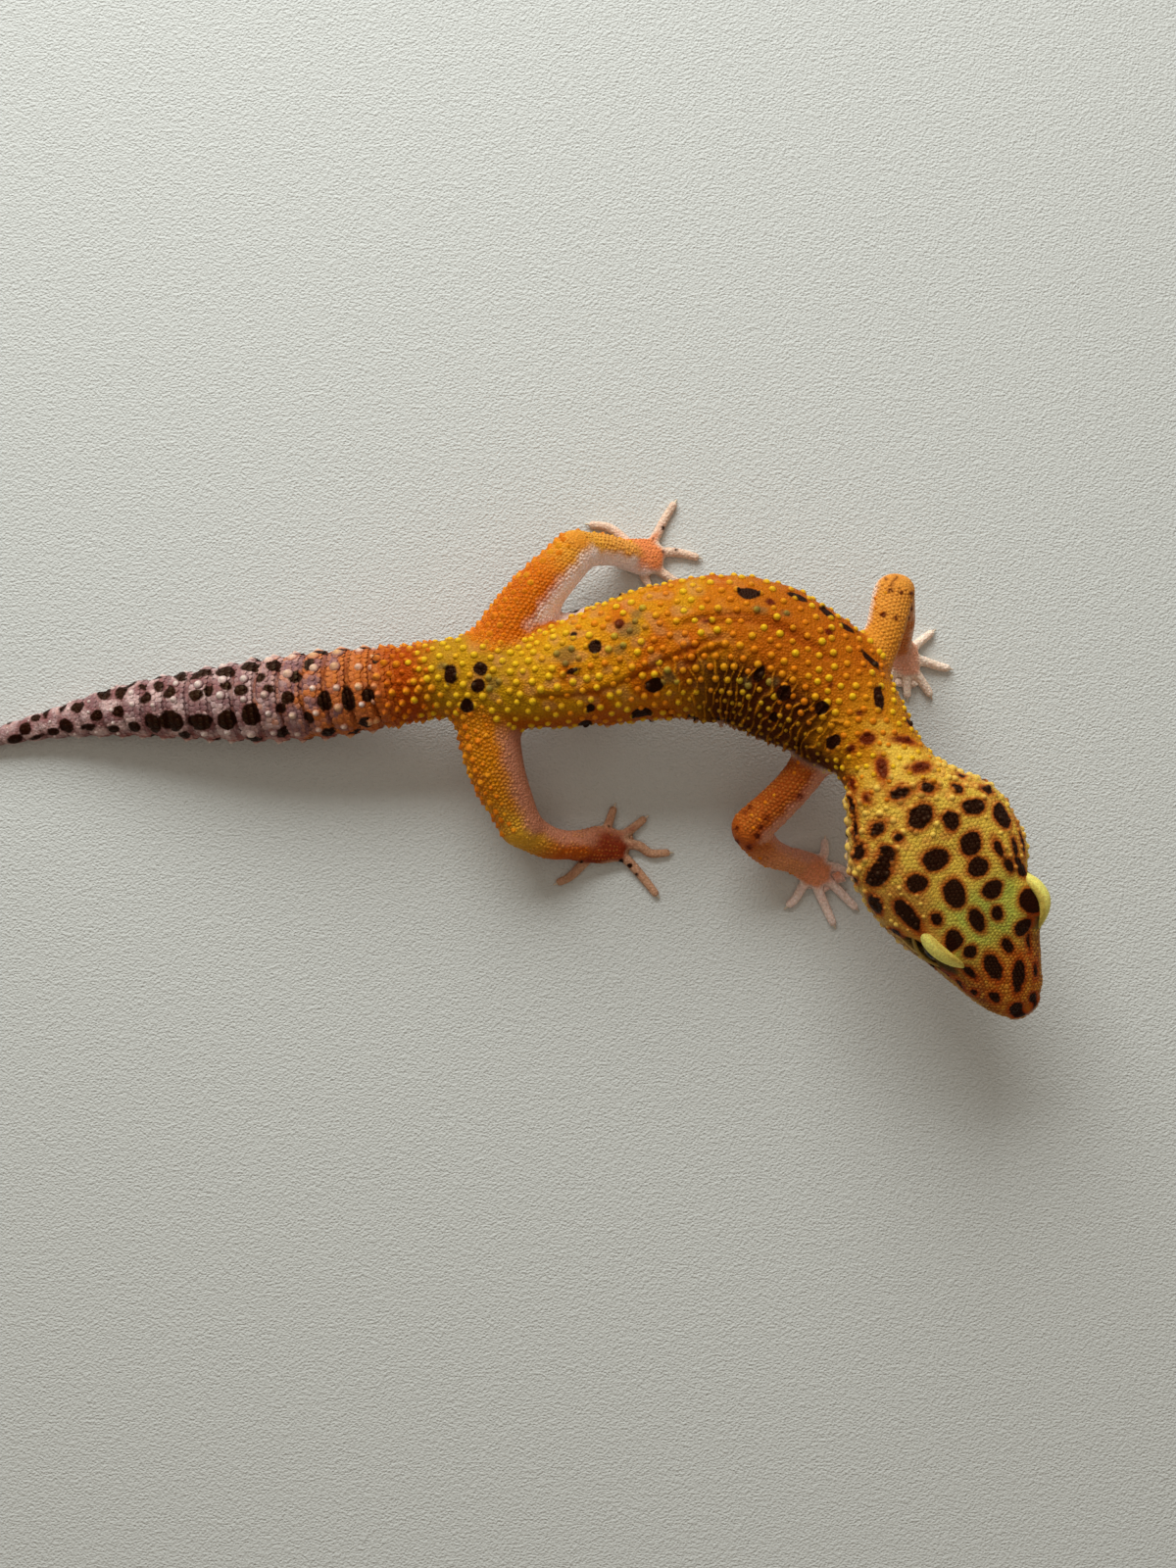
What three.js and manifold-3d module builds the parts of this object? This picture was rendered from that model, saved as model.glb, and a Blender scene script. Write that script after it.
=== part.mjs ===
// Leopard gecko, a still life-size model in a walking stance: millimetres, +Z up, feet on z = 0.
// The body faces +X with its tail along -X; its head is turned to its right, towards -Y.
// Body, limbs and toes are swept forms: a path through a few hand-set stations, and at each station
// a half width, a rise above the path and a drop below it. Pieces are parted by thin gaps.
import * as THREE from "three";
import { ParametricGeometry } from "three/addons/geometries/ParametricGeometry.js";
import { mergeVertices } from "three/addons/utils/BufferGeometryUtils.js";
import Module from "manifold-3d";

const wasm = await Module();
wasm.setup();

// ---- driving dimensions, in millimetres ----
const GAP = 0.3;                  // parting gap between neighbouring pieces
const HEAD_LENGTH = 33;           // snout tip to the parting at the nape
const HEAD_YAW = -60.8;           // heading of the snout in the floor plane, degrees from +X
const HEAD_PITCH = 8;             // degrees that the snout points down
const SNOUT_TIP = [80.5, -36.4, 15.8];
const EYE_BACK = 14.0;            // snout tip to the eyes' centres, along the head
const EYE_SPREAD = 6.1;           // head's middle plane to the centre of an eye's lids
const EYE_RISE = 1.9;             // centre of the lids above the head's path
const EYE_RADIUS = 3.1;
const LID_THICKNESS = 0.2;        // how much deeper the eyeball sits than the lids' bulge
const LID_RADIUS = [3.2, 4.5, 3.5]; // bulge of the lids round an eye: out, along, up
const OPENING_RADIUS = [1.5, 3.4, 2.0]; // almond between the lids, round a centre on their outside
const MOUTH_LENGTH = 24;          // snout tip to the corner of the mouth
const MOUTH_DROP = 1.5;           // mouth line below the head's path
const WHORL_PITCH = 3.4;          // length of one ring of the tail
const WHORL_DEPTH = 0.06;         // how far a groove cuts in, as a part of the tail's girth
const TAIL_LENGTH = 79;           // partings, as distances from the tail tip
const BELLY_START = 104;
const CHEST_START = 126;
const NECK_START = 145;
const CLAW_LENGTH = 0.9;
const CLAW_RADIUS = 0.32;
const FLOOR_BLOCK = [400, 400, 30]; // block that trims all feet and the tail level with z = 0
const HEAD_SQUARENESS = 0.16;     // 0 is an ellipse in section, 1 a box

// Stations from the tail tip to the neck: x, y, z, half width, rise, drop.
const TRUNK_STATIONS = [
  [-82.8, -1.8, 0.60, 0.75, 0.75, 0.75],   // tail tip
  [-71.0, 0.7, 1.15, 1.45, 1.35, 1.30],
  [-59.0, 3.4, 2.10, 2.45, 2.20, 2.20],
  [-47.7, 5.3, 3.75, 4.00, 3.50, 3.50],
  [-36.7, 6.1, 5.20, 5.20, 4.60, 4.60],
  [-25.9, 6.8, 6.40, 6.20, 5.30, 5.30],    // fattest part of the tail
  [-15.1, 7.8, 7.50, 6.40, 5.50, 5.50],
  [-6.0, 8.9, 8.60, 5.70, 5.30, 5.20],     // tail root
  [2.6, 9.8, 10.00, 5.90, 5.60, 5.20],     // hips
  [11.5, 8.7, 11.00, 6.40, 6.20, 5.40],
  [20.3, 10.7, 11.50, 8.30, 7.00, 6.00],   // loin
  [31.0, 13.3, 12.00, 9.80, 7.50, 6.50],   // belly
  [42.0, 13.3, 12.70, 10.90, 7.60, 6.60],  // ribs
  [51.0, 8.8, 13.70, 10.50, 7.20, 6.60],   // shoulders
  [57.1, 3.0, 15.60, 8.10, 6.30, 6.00],
  [60.8, -2.4, 17.90, 6.40, 5.60, 5.50],   // neck
  [62.9, -7.0, 19.80, 8.10, 5.60, 5.70],   // nape
];

// Stations of the head: distance behind the snout tip, shift to the left, half width, rise, drop.
const HEAD_STATIONS = [
  [29.5, -0.9, 11.2, 5.9, 6.4],            // corners of the jaws
  [24.0, -0.3, 11.8, 5.9, 6.7],
  [18.5, -0.3, 11.0, 5.7, 6.3],
  [13.5, 0, 9.4, 5.2, 5.6],                // eyes
  [9.0, 0, 7.5, 4.2, 4.8],
  [5.0, 0, 5.7, 3.3, 4.0],                 // snout
  [2.0, 0.2, 4.2, 2.4, 3.1],
  [0.0, 0.4, 2.8, 1.3, 1.7],               // rounded lips at the tip
];

// Limbs: stations from hip or shoulder to knee or elbow, then to the ankle or wrist, and the palm:
// x, y, z, half width, half height. Each toe has the places of its root, its joints and its tip.
const LIMBS = {
  hind_right: {
    upper: [[5.6, 6.5, 10.2, 4.8, 4.4], [7.2, -3.0, 9.6, 4.2, 4.0], [10.6, -11.2, 7.4, 3.1, 3.0]],
    lower: [[10.4, -11.6, 7.2, 3.0, 2.9], [14.8, -14.0, 4.6, 2.6, 2.5], [19.4, -14.4, 2.7, 2.1, 1.9]],
    palm: [[18.4, -14.6, 2.3, 2.2, 1.7], [22.0, -14.4, 1.45, 2.9, 1.45], [25.0, -14.6, 1.05, 2.4, 1.1]],
    toes: {
      1: [[21.8, -13.6, 1.2], [23.1, -11.8, 0.7], [24.4, -8.3, 0.42]],
      2: [[23.6, -14.0, 1.2], [26.1, -12.6, 0.7], [29.3, -10.1, 0.42]],
      3: [[24.2, -14.4, 1.2], [27.6, -14.5, 0.7], [29.6, -15.7, 0.45], [33.0, -15.6, 0.42]],
      4: [[23.8, -15.2, 1.2], [26.1, -16.7, 0.7], [28.7, -19.6, 0.45], [30.9, -22.4, 0.42]],
      5: [[21.4, -15.2, 1.2], [19.6, -17.2, 0.7], [17.6, -19.2, 0.45], [15.2, -20.4, 0.42]],
    },
  },
  hind_left: {
    upper: [[6.8, 12.4, 10.4, 4.9, 4.4], [12.6, 21.2, 9.8, 4.1, 3.8], [18.6, 28.0, 8.2, 3.3, 3.0]],
    lower: [[18.4, 28.2, 8.0, 2.8, 2.7], [22.6, 28.7, 5.2, 2.5, 2.4], [26.2, 28.2, 2.8, 2.0, 1.9]],
    palm: [[25.2, 28.6, 2.3, 2.2, 1.7], [28.4, 28.2, 1.45, 2.8, 1.45], [30.6, 28.2, 1.05, 2.3, 1.1]],
    toes: {
      1: [[28.2, 27.4, 1.2], [28.6, 25.6, 0.7], [29.7, 23.3, 0.42]],
      2: [[29.2, 27.4, 1.2], [31.0, 26.2, 0.7], [32.9, 24.9, 0.45], [34.8, 24.1, 0.42]],
      3: [[29.8, 28.2, 1.2], [31.8, 29.0, 0.7], [34.1, 28.9, 0.45], [37.3, 28.1, 0.42]],
      4: [[29.0, 29.2, 1.2], [30.4, 31.4, 0.7], [31.6, 33.8, 0.45], [33.5, 36.9, 0.42]],
      5: [[27.2, 28.8, 1.2], [25.6, 31.0, 0.7], [23.4, 32.7, 0.45], [19.9, 33.3, 0.42]],
    },
  },
  front_right: {
    upper: [[54.6, 1.4, 12.2, 3.2, 3.2], [49.4, -5.8, 11.4, 2.9, 2.8], [43.6, -11.8, 8.8, 3.1, 2.8]],
    lower: [[43.8, -12.2, 8.4, 2.9, 2.6], [46.6, -15.2, 5.8, 2.4, 2.3], [51.4, -17.0, 3.0, 1.8, 1.7]],
    palm: [[50.6, -16.6, 2.3, 1.9, 1.6], [53.2, -17.9, 1.35, 2.4, 1.35], [55.0, -19.2, 0.95, 2.0, 1.0]],
    toes: {
      1: [[53.8, -17.4, 1.1], [55.3, -16.0, 0.65], [55.6, -13.1, 0.42]],
      2: [[54.4, -17.9, 1.1], [56.5, -17.7, 0.65], [58.1, -18.2, 0.45], [59.6, -19.4, 0.42]],
      3: [[54.6, -19.0, 1.1], [56.3, -20.0, 0.65], [58.4, -22.1, 0.45], [60.6, -24.3, 0.42]],
      4: [[54.0, -19.4, 1.1], [54.6, -21.4, 0.65], [55.9, -24.3, 0.45], [57.1, -26.9, 0.42]],
      5: [[53.2, -18.8, 1.1], [52.2, -20.6, 0.65], [51.1, -22.5, 0.45], [49.5, -24.0, 0.42]],
    },
  },
  front_left: {
    upper: [[58.2, 7.4, 12.4, 3.2, 3.2], [61.6, 14.6, 13.0, 2.9, 2.8], [63.7, 21.8, 11.4, 3.1, 2.8]],
    lower: [[64.0, 21.9, 10.8, 3.0, 2.6], [65.6, 18.2, 6.6, 2.3, 2.2], [66.2, 15.0, 3.0, 1.8, 1.7]],
    palm: [[66.0, 15.8, 2.3, 1.9, 1.6], [67.0, 13.4, 1.35, 2.4, 1.35], [67.8, 11.6, 0.95, 2.0, 1.0]],
    toes: {
      1: [[66.4, 12.6, 1.1], [65.6, 10.8, 0.65], [64.6, 8.6, 0.42]],
      2: [[67.2, 12.2, 1.1], [67.6, 10.0, 0.65], [67.8, 6.8, 0.42]],
      3: [[67.8, 12.4, 1.1], [69.3, 10.6, 0.65], [70.6, 8.8, 0.45], [71.5, 7.2, 0.42]],
      4: [[68.0, 13.2, 1.1], [70.2, 12.8, 0.65], [72.4, 12.1, 0.45], [74.6, 11.6, 0.42]],
      5: [[67.6, 14.0, 1.1], [69.5, 15.6, 0.65], [72.0, 17.6, 0.42]],
    },
  },
};
const TOE_ROOT_RADIUS = 0.92;
const TOE_TIP_RADIUS = 0.66;
const CLAW_SHARE = 1.0;           // how far before the last place the flesh ends and the claw starts

// Facets: kept low here, as the fine surface is made elsewhere.
const TRUNK_SIDES = 18;
const TAIL_SIDES = 14;
const TRUNK_STEP = 3.4;           // length of one facet along the trunk
const HEAD_SIDES = 20;
const LIMB_SIDES = 10;
const TOE_SIDES = 6;
const CLAW_SIDES = 6;
const CAP_ROWS = 2;
const HEAD_STEPS = 13;
const LIMB_STEPS = 5;
const BALL_SEGMENTS = [12, 8];

const skin = (name, color) => new THREE.MeshStandardMaterial({ name, color, roughness: 0.55, metalness: 0 });
const MATERIALS = {
  trunk: skin("trunk_skin", 0xd69a22),
  head: skin("head_skin", 0xcbb04a),
  tail: skin("tail_skin", 0xcdb4b0),
  limb: skin("limb_skin", 0xd98a3a),
  foot: skin("foot_skin", 0xe0b8a0),
  eye: new THREE.MeshStandardMaterial({ name: "eye", color: 0x2a2a18, roughness: 0.08, metalness: 0 }),
  claw: new THREE.MeshStandardMaterial({ name: "claw_horn", color: 0xd8c4a4, roughness: 0.35, metalness: 0 }),
};

// ---- solids from three.js geometry ----
const UP = new THREE.Vector3(0, 0, 1);
const point = ([x, y, z]) => new THREE.Vector3(x, y, z);
const girthOf = ([, , , width, rise, drop = rise]) => new THREE.Vector3(width, rise, drop);

function solidOf(geometry) {
  // One closed body with shared corners and faces out, as a manifold solid.
  const bare = geometry.clone();
  bare.deleteAttribute("normal");
  bare.deleteAttribute("uv");
  const merged = mergeVertices(bare, 1e-4);
  const index = merged.index.array;
  const kept = [];
  for (let i = 0; i < index.length; i += 3) {
    const [a, b, c] = [index[i], index[i + 1], index[i + 2]];
    if (a !== b && b !== c && c !== a) kept.push(a, b, c);
  }
  const place = merged.getAttribute("position");
  const corner = [new THREE.Vector3(), new THREE.Vector3(), new THREE.Vector3()];
  let volume = 0;
  for (let i = 0; i < kept.length; i += 3) {
    corner.forEach((p, k) => p.fromBufferAttribute(place, kept[i + k]));
    volume += corner[0].dot(corner[1].clone().cross(corner[2]));
  }
  if (volume < 0) {
    for (let i = 0; i < kept.length; i += 3) [kept[i], kept[i + 1]] = [kept[i + 1], kept[i]];
  }
  return new wasm.Manifold(new wasm.Mesh({
    numProp: 3,
    vertProperties: new Float32Array(place.array),
    triVerts: new Uint32Array(kept),
  }));
}

function meshOf(name, material, solid, pivot) {
  // The solid as a named mesh whose own origin is its pivot, the joint that it grows from.
  const { vertProperties, triVerts } = solid.getMesh();
  const geometry = new THREE.BufferGeometry();
  geometry.setAttribute("position", new THREE.BufferAttribute(new Float32Array(vertProperties), 3));
  geometry.setIndex(new THREE.BufferAttribute(new Uint32Array(triVerts), 1));
  geometry.translate(-pivot.x, -pivot.y, -pivot.z);
  geometry.computeVertexNormals();
  const mesh = new THREE.Mesh(geometry, material);
  mesh.name = name;
  mesh.position.copy(pivot);
  return mesh;
}

function pathOf(stations) {
  // A smooth path through the stations, and the girths that run along it: half width, rise, drop.
  return {
    line: new THREE.CatmullRomCurve3(stations.map(point), false, "catmullrom"),
    girth: new THREE.CatmullRomCurve3(stations.map(girthOf), false, "catmullrom"),
  };
}

function ringAt(path, t, grow = 0) {
  // The section at t: centre, axes (left, up, along) and girths, all grown by the same amount.
  const along = path.line.getTangent(t);
  const left = UP.clone().cross(along).normalize();
  const girth = path.girth.getPoint(t);
  return {
    centre: path.line.getPoint(t),
    along,
    left,
    up: along.clone().cross(left),
    width: girth.x + grow,
    rise: girth.y + grow,
    drop: girth.z + grow,
  };
}

function shiftRing(ring, distance, scale) {
  const centre = ring.centre.clone().addScaledVector(ring.along, distance);
  return { ...ring, centre, width: ring.width * scale, rise: ring.rise * scale, drop: ring.drop * scale };
}

function roundTipped(rings) {
  // Flat where the limb starts; the far ring is repeated outwards on a quarter circle, to a point.
  const last = rings[rings.length - 1];
  const reach = Math.min(last.width, last.rise, last.drop);
  const cap = Array.from({ length: CAP_ROWS }, (_, i) => {
    const angle = ((i + 1) / CAP_ROWS) * Math.PI / 2;
    return shiftRing(last, reach * Math.sin(angle), Math.cos(angle));
  });
  return [shiftRing(rings[0], 0, 0), ...rings, ...cap];
}

function flatEnded(rings) {
  return [shiftRing(rings[0], 0, 0), ...rings, shiftRing(rings[rings.length - 1], 0, 0)];
}

function sweep(rings, sides, squareness = 0) {
  // Surface through the rings: across = width cos^e, up = rise or drop sin^e, e below 1 when squarer.
  const power = 1 - squareness;
  const bend = (value) => Math.sign(value) * Math.abs(value) ** power;
  const surface = (u, v, target) => {
    const ring = rings[Math.round(u * (rings.length - 1))];
    const angle = (Math.round(v * sides) % sides) / sides * Math.PI * 2;
    const height = Math.sin(angle) >= 0 ? ring.rise : ring.drop;
    target.copy(ring.centre)
      .addScaledVector(ring.left, ring.width * bend(Math.cos(angle)))
      .addScaledVector(ring.up, height * bend(Math.sin(angle)));
  };
  return solidOf(new ParametricGeometry(surface, rings.length - 1, sides));
}

const floorBox = new THREE.BoxGeometry(...FLOOR_BLOCK);
floorBox.translate(0, 0, -FLOOR_BLOCK[2] / 2);
const floorBlock = solidOf(floorBox);

// ---- head frame ----
const yaw = THREE.MathUtils.degToRad(HEAD_YAW);
const pitch = THREE.MathUtils.degToRad(HEAD_PITCH);
const headForward = new THREE.Vector3(
  Math.cos(yaw) * Math.cos(pitch), Math.sin(yaw) * Math.cos(pitch), -Math.sin(pitch));
const headLeft = UP.clone().cross(headForward).normalize();
const headUp = headForward.clone().cross(headLeft);
const snoutTip = point(SNOUT_TIP);
const inHead = (back, left, up) => snoutTip.clone()
  .addScaledVector(headForward, -back)
  .addScaledVector(headLeft, left)
  .addScaledVector(headUp, up);
const headBasis = new THREE.Matrix4().makeBasis(headLeft, headForward, headUp);

// ---- body path: the trunk's stations, then the head's ----
const headRows = HEAD_STATIONS.map(([back, left, ...girth]) => [...inHead(back, left, 0).toArray(), ...girth]);
const body = pathOf([...TRUNK_STATIONS, ...headRows]);
body.line.arcLengthDivisions = 1000;
const bodyLength = body.line.getLength();
const timeAt = (distance) => body.line.getUtoTmapping(distance / bodyLength);

function bodyRings(from, to, steps, grow = 0, pitchOfWhorls = 0) {
  // Rings at even steps; on the tail every second ring stands in a groove between two whorls.
  return Array.from({ length: steps + 1 }, (_, i) => {
    const distance = from + (to - from) * i / steps;
    const ring = ringAt(body, timeAt(distance), grow);
    const inGroove = pitchOfWhorls > 0 && Math.round(distance / (pitchOfWhorls / 2)) % 2 === 0;
    return inGroove ? shiftRing(ring, 0, 1 - WHORL_DEPTH) : ring;
  });
}

// ---- tail and trunk, parted square to the path ----
const headStart = bodyLength - HEAD_LENGTH;
const LENGTHS = [ // name, from, to, material
  ["tail_tip", 0, 6 * WHORL_PITCH, MATERIALS.tail],
  ["tail_end", 6 * WHORL_PITCH, 12 * WHORL_PITCH, MATERIALS.tail],
  ["tail_middle", 12 * WHORL_PITCH, 18 * WHORL_PITCH, MATERIALS.tail],
  ["tail_root", 18 * WHORL_PITCH, TAIL_LENGTH, MATERIALS.tail],
  ["hips", TAIL_LENGTH, BELLY_START, MATERIALS.trunk],
  ["belly", BELLY_START, CHEST_START, MATERIALS.trunk],
  ["chest", CHEST_START, NECK_START, MATERIALS.trunk],
  ["neck", NECK_START, headStart, MATERIALS.trunk],
];
const trunkGroup = new THREE.Group();
for (const [name, from, to, material] of LENGTHS) {
  const onTail = to <= TAIL_LENGTH;
  const start = from === 0 ? 0 : from + GAP / 2;
  const steps = Math.round((to - from) / (onTail ? WHORL_PITCH / 2 : TRUNK_STEP));
  const rings = bodyRings(start, to - GAP / 2, steps, 0, onTail ? WHORL_PITCH : 0);
  const solid = sweep(flatEnded(rings), onTail ? TAIL_SIDES : TRUNK_SIDES).subtract(floorBlock);
  trunkGroup.add(meshOf(name, material, solid, ringAt(body, timeAt(from)).centre));
}
const cutterSteps = Math.round((headStart - TAIL_LENGTH) / TRUNK_STEP);
const trunkCutter = sweep(flatEnded(bodyRings(TAIL_LENGTH, headStart, cutterSteps, GAP)), TRUNK_SIDES);

// ---- head: skull and upper jaw, lower jaw, eyes ----
const headGroup = new THREE.Group();
const headRings = bodyRings(headStart + GAP / 2, bodyLength, HEAD_STEPS);
const bareHead = sweep(flatEnded(headRings), HEAD_SIDES, HEAD_SQUARENESS);

function ellipsoid(centre, [out, along, up]) {
  // Axes: out to the side, along the head, up.
  const ball = new THREE.SphereGeometry(1, ...BALL_SEGMENTS);
  ball.rotateX(Math.PI / 2);
  ball.scale(out, along, up);
  ball.applyMatrix4(headBasis.clone().setPosition(centre));
  return solidOf(ball);
}

const sides = { left: 1, right: -1 };
let headSolid = bareHead;
for (const side of Object.values(sides)) {
  const eye = inHead(EYE_BACK, side * EYE_SPREAD, EYE_RISE);
  headSolid = headSolid.add(ellipsoid(eye, LID_RADIUS));
}
for (const [name, side] of Object.entries(sides)) {
  const eye = inHead(EYE_BACK, side * (EYE_SPREAD - LID_THICKNESS), EYE_RISE - LID_THICKNESS);
  const opening = inHead(EYE_BACK, side * (EYE_SPREAD + LID_RADIUS[0]), EYE_RISE - LID_THICKNESS);
  const socket = EYE_RADIUS + GAP;
  headSolid = headSolid
    .subtract(ellipsoid(eye, [socket, socket, socket]))
    .subtract(ellipsoid(opening, OPENING_RADIUS));
  const ball = ellipsoid(eye, [EYE_RADIUS, EYE_RADIUS, EYE_RADIUS]);
  headGroup.add(meshOf(`eye_${name}`, MATERIALS.eye, ball, eye));
}

function jawBlock(clearance) {
  // Everything below the mouth line, from the corner of the mouth forwards, well past the lips.
  const length = MOUTH_LENGTH * 1.5 + clearance;
  const block = new THREE.BoxGeometry(HEAD_LENGTH, length, HEAD_LENGTH);
  block.translate(0, length / 2, clearance - HEAD_LENGTH / 2);
  block.applyMatrix4(headBasis.clone().setPosition(inHead(MOUTH_LENGTH + clearance, 0, -MOUTH_DROP)));
  return solidOf(block);
}
const lowerJaw = headSolid.intersect(jawBlock(0));
headGroup.add(
  meshOf("head", MATERIALS.head, headSolid.subtract(jawBlock(GAP)), inHead(HEAD_LENGTH, 0, 0)),
  meshOf("lower_jaw", MATERIALS.head, lowerJaw, inHead(MOUTH_LENGTH, 0, -MOUTH_DROP)));

// ---- limbs ----
function evenRings(stations, steps, grow = 0) {
  const path = pathOf(stations);
  return Array.from({ length: steps + 1 }, (_, i) => ringAt(path, i / steps, grow));
}

function limbSolid(stations, grow = 0) {
  return sweep(roundTipped(evenRings(stations, LIMB_STEPS, grow)), LIMB_SIDES);
}

function withoutClaw(places) {
  // The toe's places, with the last one drawn back by the claw's share.
  const [before, tip] = places.slice(-2).map(point);
  return [...places.slice(0, -1), tip.addScaledVector(tip.clone().sub(before).normalize(), -CLAW_SHARE).toArray()];
}

function toeStations(places) {
  const last = places.length - 1;
  return places.map((place, i) => {
    const radius = THREE.MathUtils.lerp(TOE_ROOT_RADIUS, TOE_TIP_RADIUS, i / last);
    return [...place, radius, radius];
  });
}

function clawOn(places) {
  // A small cone that carries on past the toe's blunt end, parted from it by the gap.
  const tip = point(places[places.length - 1]);
  const heading = tip.clone().sub(point(places[places.length - 2])).setZ(0).normalize();
  const cone = new THREE.ConeGeometry(CLAW_RADIUS, CLAW_LENGTH, CLAW_SIDES);
  cone.translate(0, CLAW_LENGTH / 2 + GAP, 0);
  cone.applyQuaternion(new THREE.Quaternion().setFromUnitVectors(new THREE.Vector3(0, 1, 0), heading));
  cone.translate(tip.x, tip.y, CLAW_RADIUS);
  return { solid: solidOf(cone), tip };
}

const limbGroups = Object.entries(LIMBS).map(([name, limb]) => {
  const group = new THREE.Group();
  const hind = name.startsWith("hind");
  const upper = limbSolid(limb.upper).subtract(trunkCutter);
  const lower = limbSolid(limb.lower).subtract(limbSolid(limb.upper, GAP));
  let foot = limbSolid(limb.palm);
  for (const [number, wholeToe] of Object.entries(limb.toes)) {
    const places = withoutClaw(wholeToe);
    const rings = evenRings(toeStations(places), places.length);
    foot = foot.add(sweep(flatEnded(rings), TOE_SIDES));
    const claw = clawOn(places);
    group.add(meshOf(`claw_${name}_${number}`, MATERIALS.claw, claw.solid.subtract(floorBlock), claw.tip));
  }
  foot = foot.subtract(limbSolid(limb.lower, GAP)).subtract(floorBlock);
  group.add(
    meshOf(`${hind ? "thigh" : "upper_arm"}_${name}`, MATERIALS.limb, upper, point(limb.upper[0])),
    meshOf(`${hind ? "shin" : "forearm"}_${name}`, MATERIALS.limb, lower, point(limb.lower[0])),
    meshOf(`${hind ? "foot" : "hand"}_${name}`, MATERIALS.foot, foot, point(limb.palm[0])));
  return group;
});

const gecko = new THREE.Group();
gecko.name = "leopard_gecko";
gecko.add(trunkGroup, headGroup, ...limbGroups);

export default gecko;
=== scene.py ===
from types import SimpleNamespace

import bmesh
import bpy
import numpy as np
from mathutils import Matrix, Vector


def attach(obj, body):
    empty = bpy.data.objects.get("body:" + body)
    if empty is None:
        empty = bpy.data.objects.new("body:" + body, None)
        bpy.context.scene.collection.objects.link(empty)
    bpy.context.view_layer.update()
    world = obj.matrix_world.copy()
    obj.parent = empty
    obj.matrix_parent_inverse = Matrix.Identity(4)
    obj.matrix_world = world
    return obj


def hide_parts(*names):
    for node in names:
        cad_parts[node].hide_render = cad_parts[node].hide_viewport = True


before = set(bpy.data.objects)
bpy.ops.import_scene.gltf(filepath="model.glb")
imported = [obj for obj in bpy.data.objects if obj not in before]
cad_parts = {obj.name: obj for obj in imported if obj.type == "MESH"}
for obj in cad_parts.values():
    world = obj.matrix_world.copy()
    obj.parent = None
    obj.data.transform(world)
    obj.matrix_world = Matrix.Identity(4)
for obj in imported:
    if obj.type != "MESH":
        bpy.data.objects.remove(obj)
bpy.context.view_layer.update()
MM = 0.001

# ---------------------------------------------------------------------------------------------
# The skin. One soft, dry hide covers the whole animal from lips to tail tip and toes, thin and
# loose over the flanks. Its shape is the sum of smooth swept forms that melt into each other.
# ---------------------------------------------------------------------------------------------
# Stations from the tail tip to the nape: x, y, z, half width, rise, drop, in millimetres.
TRUNK_STATIONS = [
    [-82.8, -1.8, 0.60, 0.75, 0.75, 0.75],
    [-71.0, 0.7, 1.15, 1.45, 1.35, 1.30],
    [-59.0, 3.4, 2.10, 2.45, 2.20, 2.20],
    [-47.7, 5.3, 3.75, 4.00, 3.50, 3.50],
    [-36.7, 6.1, 5.20, 5.20, 4.60, 4.60],
    [-25.9, 6.8, 6.40, 6.20, 5.30, 5.30],
    [-15.1, 7.8, 7.50, 6.40, 5.50, 5.50],
    [-6.0, 8.9, 8.60, 5.70, 5.30, 5.20],
    [2.6, 9.8, 10.00, 5.90, 5.60, 5.20],
    [11.5, 8.7, 11.00, 6.40, 6.20, 5.40],
    [20.3, 10.7, 11.50, 8.30, 7.00, 6.00],
    [31.0, 13.3, 12.00, 9.80, 7.50, 6.50],
    [42.0, 13.3, 12.70, 10.90, 7.60, 6.60],
    [51.0, 8.8, 13.70, 10.50, 7.20, 6.60],
    [57.1, 3.0, 15.60, 8.10, 6.30, 6.00],
    [60.8, -2.4, 17.90, 6.40, 5.60, 5.50],
    [62.9, -7.0, 19.80, 8.10, 5.60, 5.70],
]
SNOUT_TIP = np.array([80.5, -36.4, 15.8])
HEAD_YAW, HEAD_PITCH = np.radians(-60.8), np.radians(8.0)
EYE_BACK = 14.4            # the middles of the eyes lie this far behind the snout tip
# Stations of the head: distance behind the snout tip, shift to the left, half width, rise, drop.
HEAD_STATIONS = [
    [29.5, -0.9, 11.2, 5.9, 6.4],
    [24.0, -0.3, 11.8, 5.9, 6.7],
    [18.5, -0.3, 11.0, 5.7, 6.3],
    [13.5, 0.0, 9.4, 5.2, 5.6],
    [9.0, 0.0, 7.5, 4.2, 4.8],
    [5.0, 0.0, 5.7, 3.3, 4.0],
    [2.0, 0.2, 4.2, 2.4, 3.1],
    [0.0, 0.4, 2.8, 1.3, 1.7],
]
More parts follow.
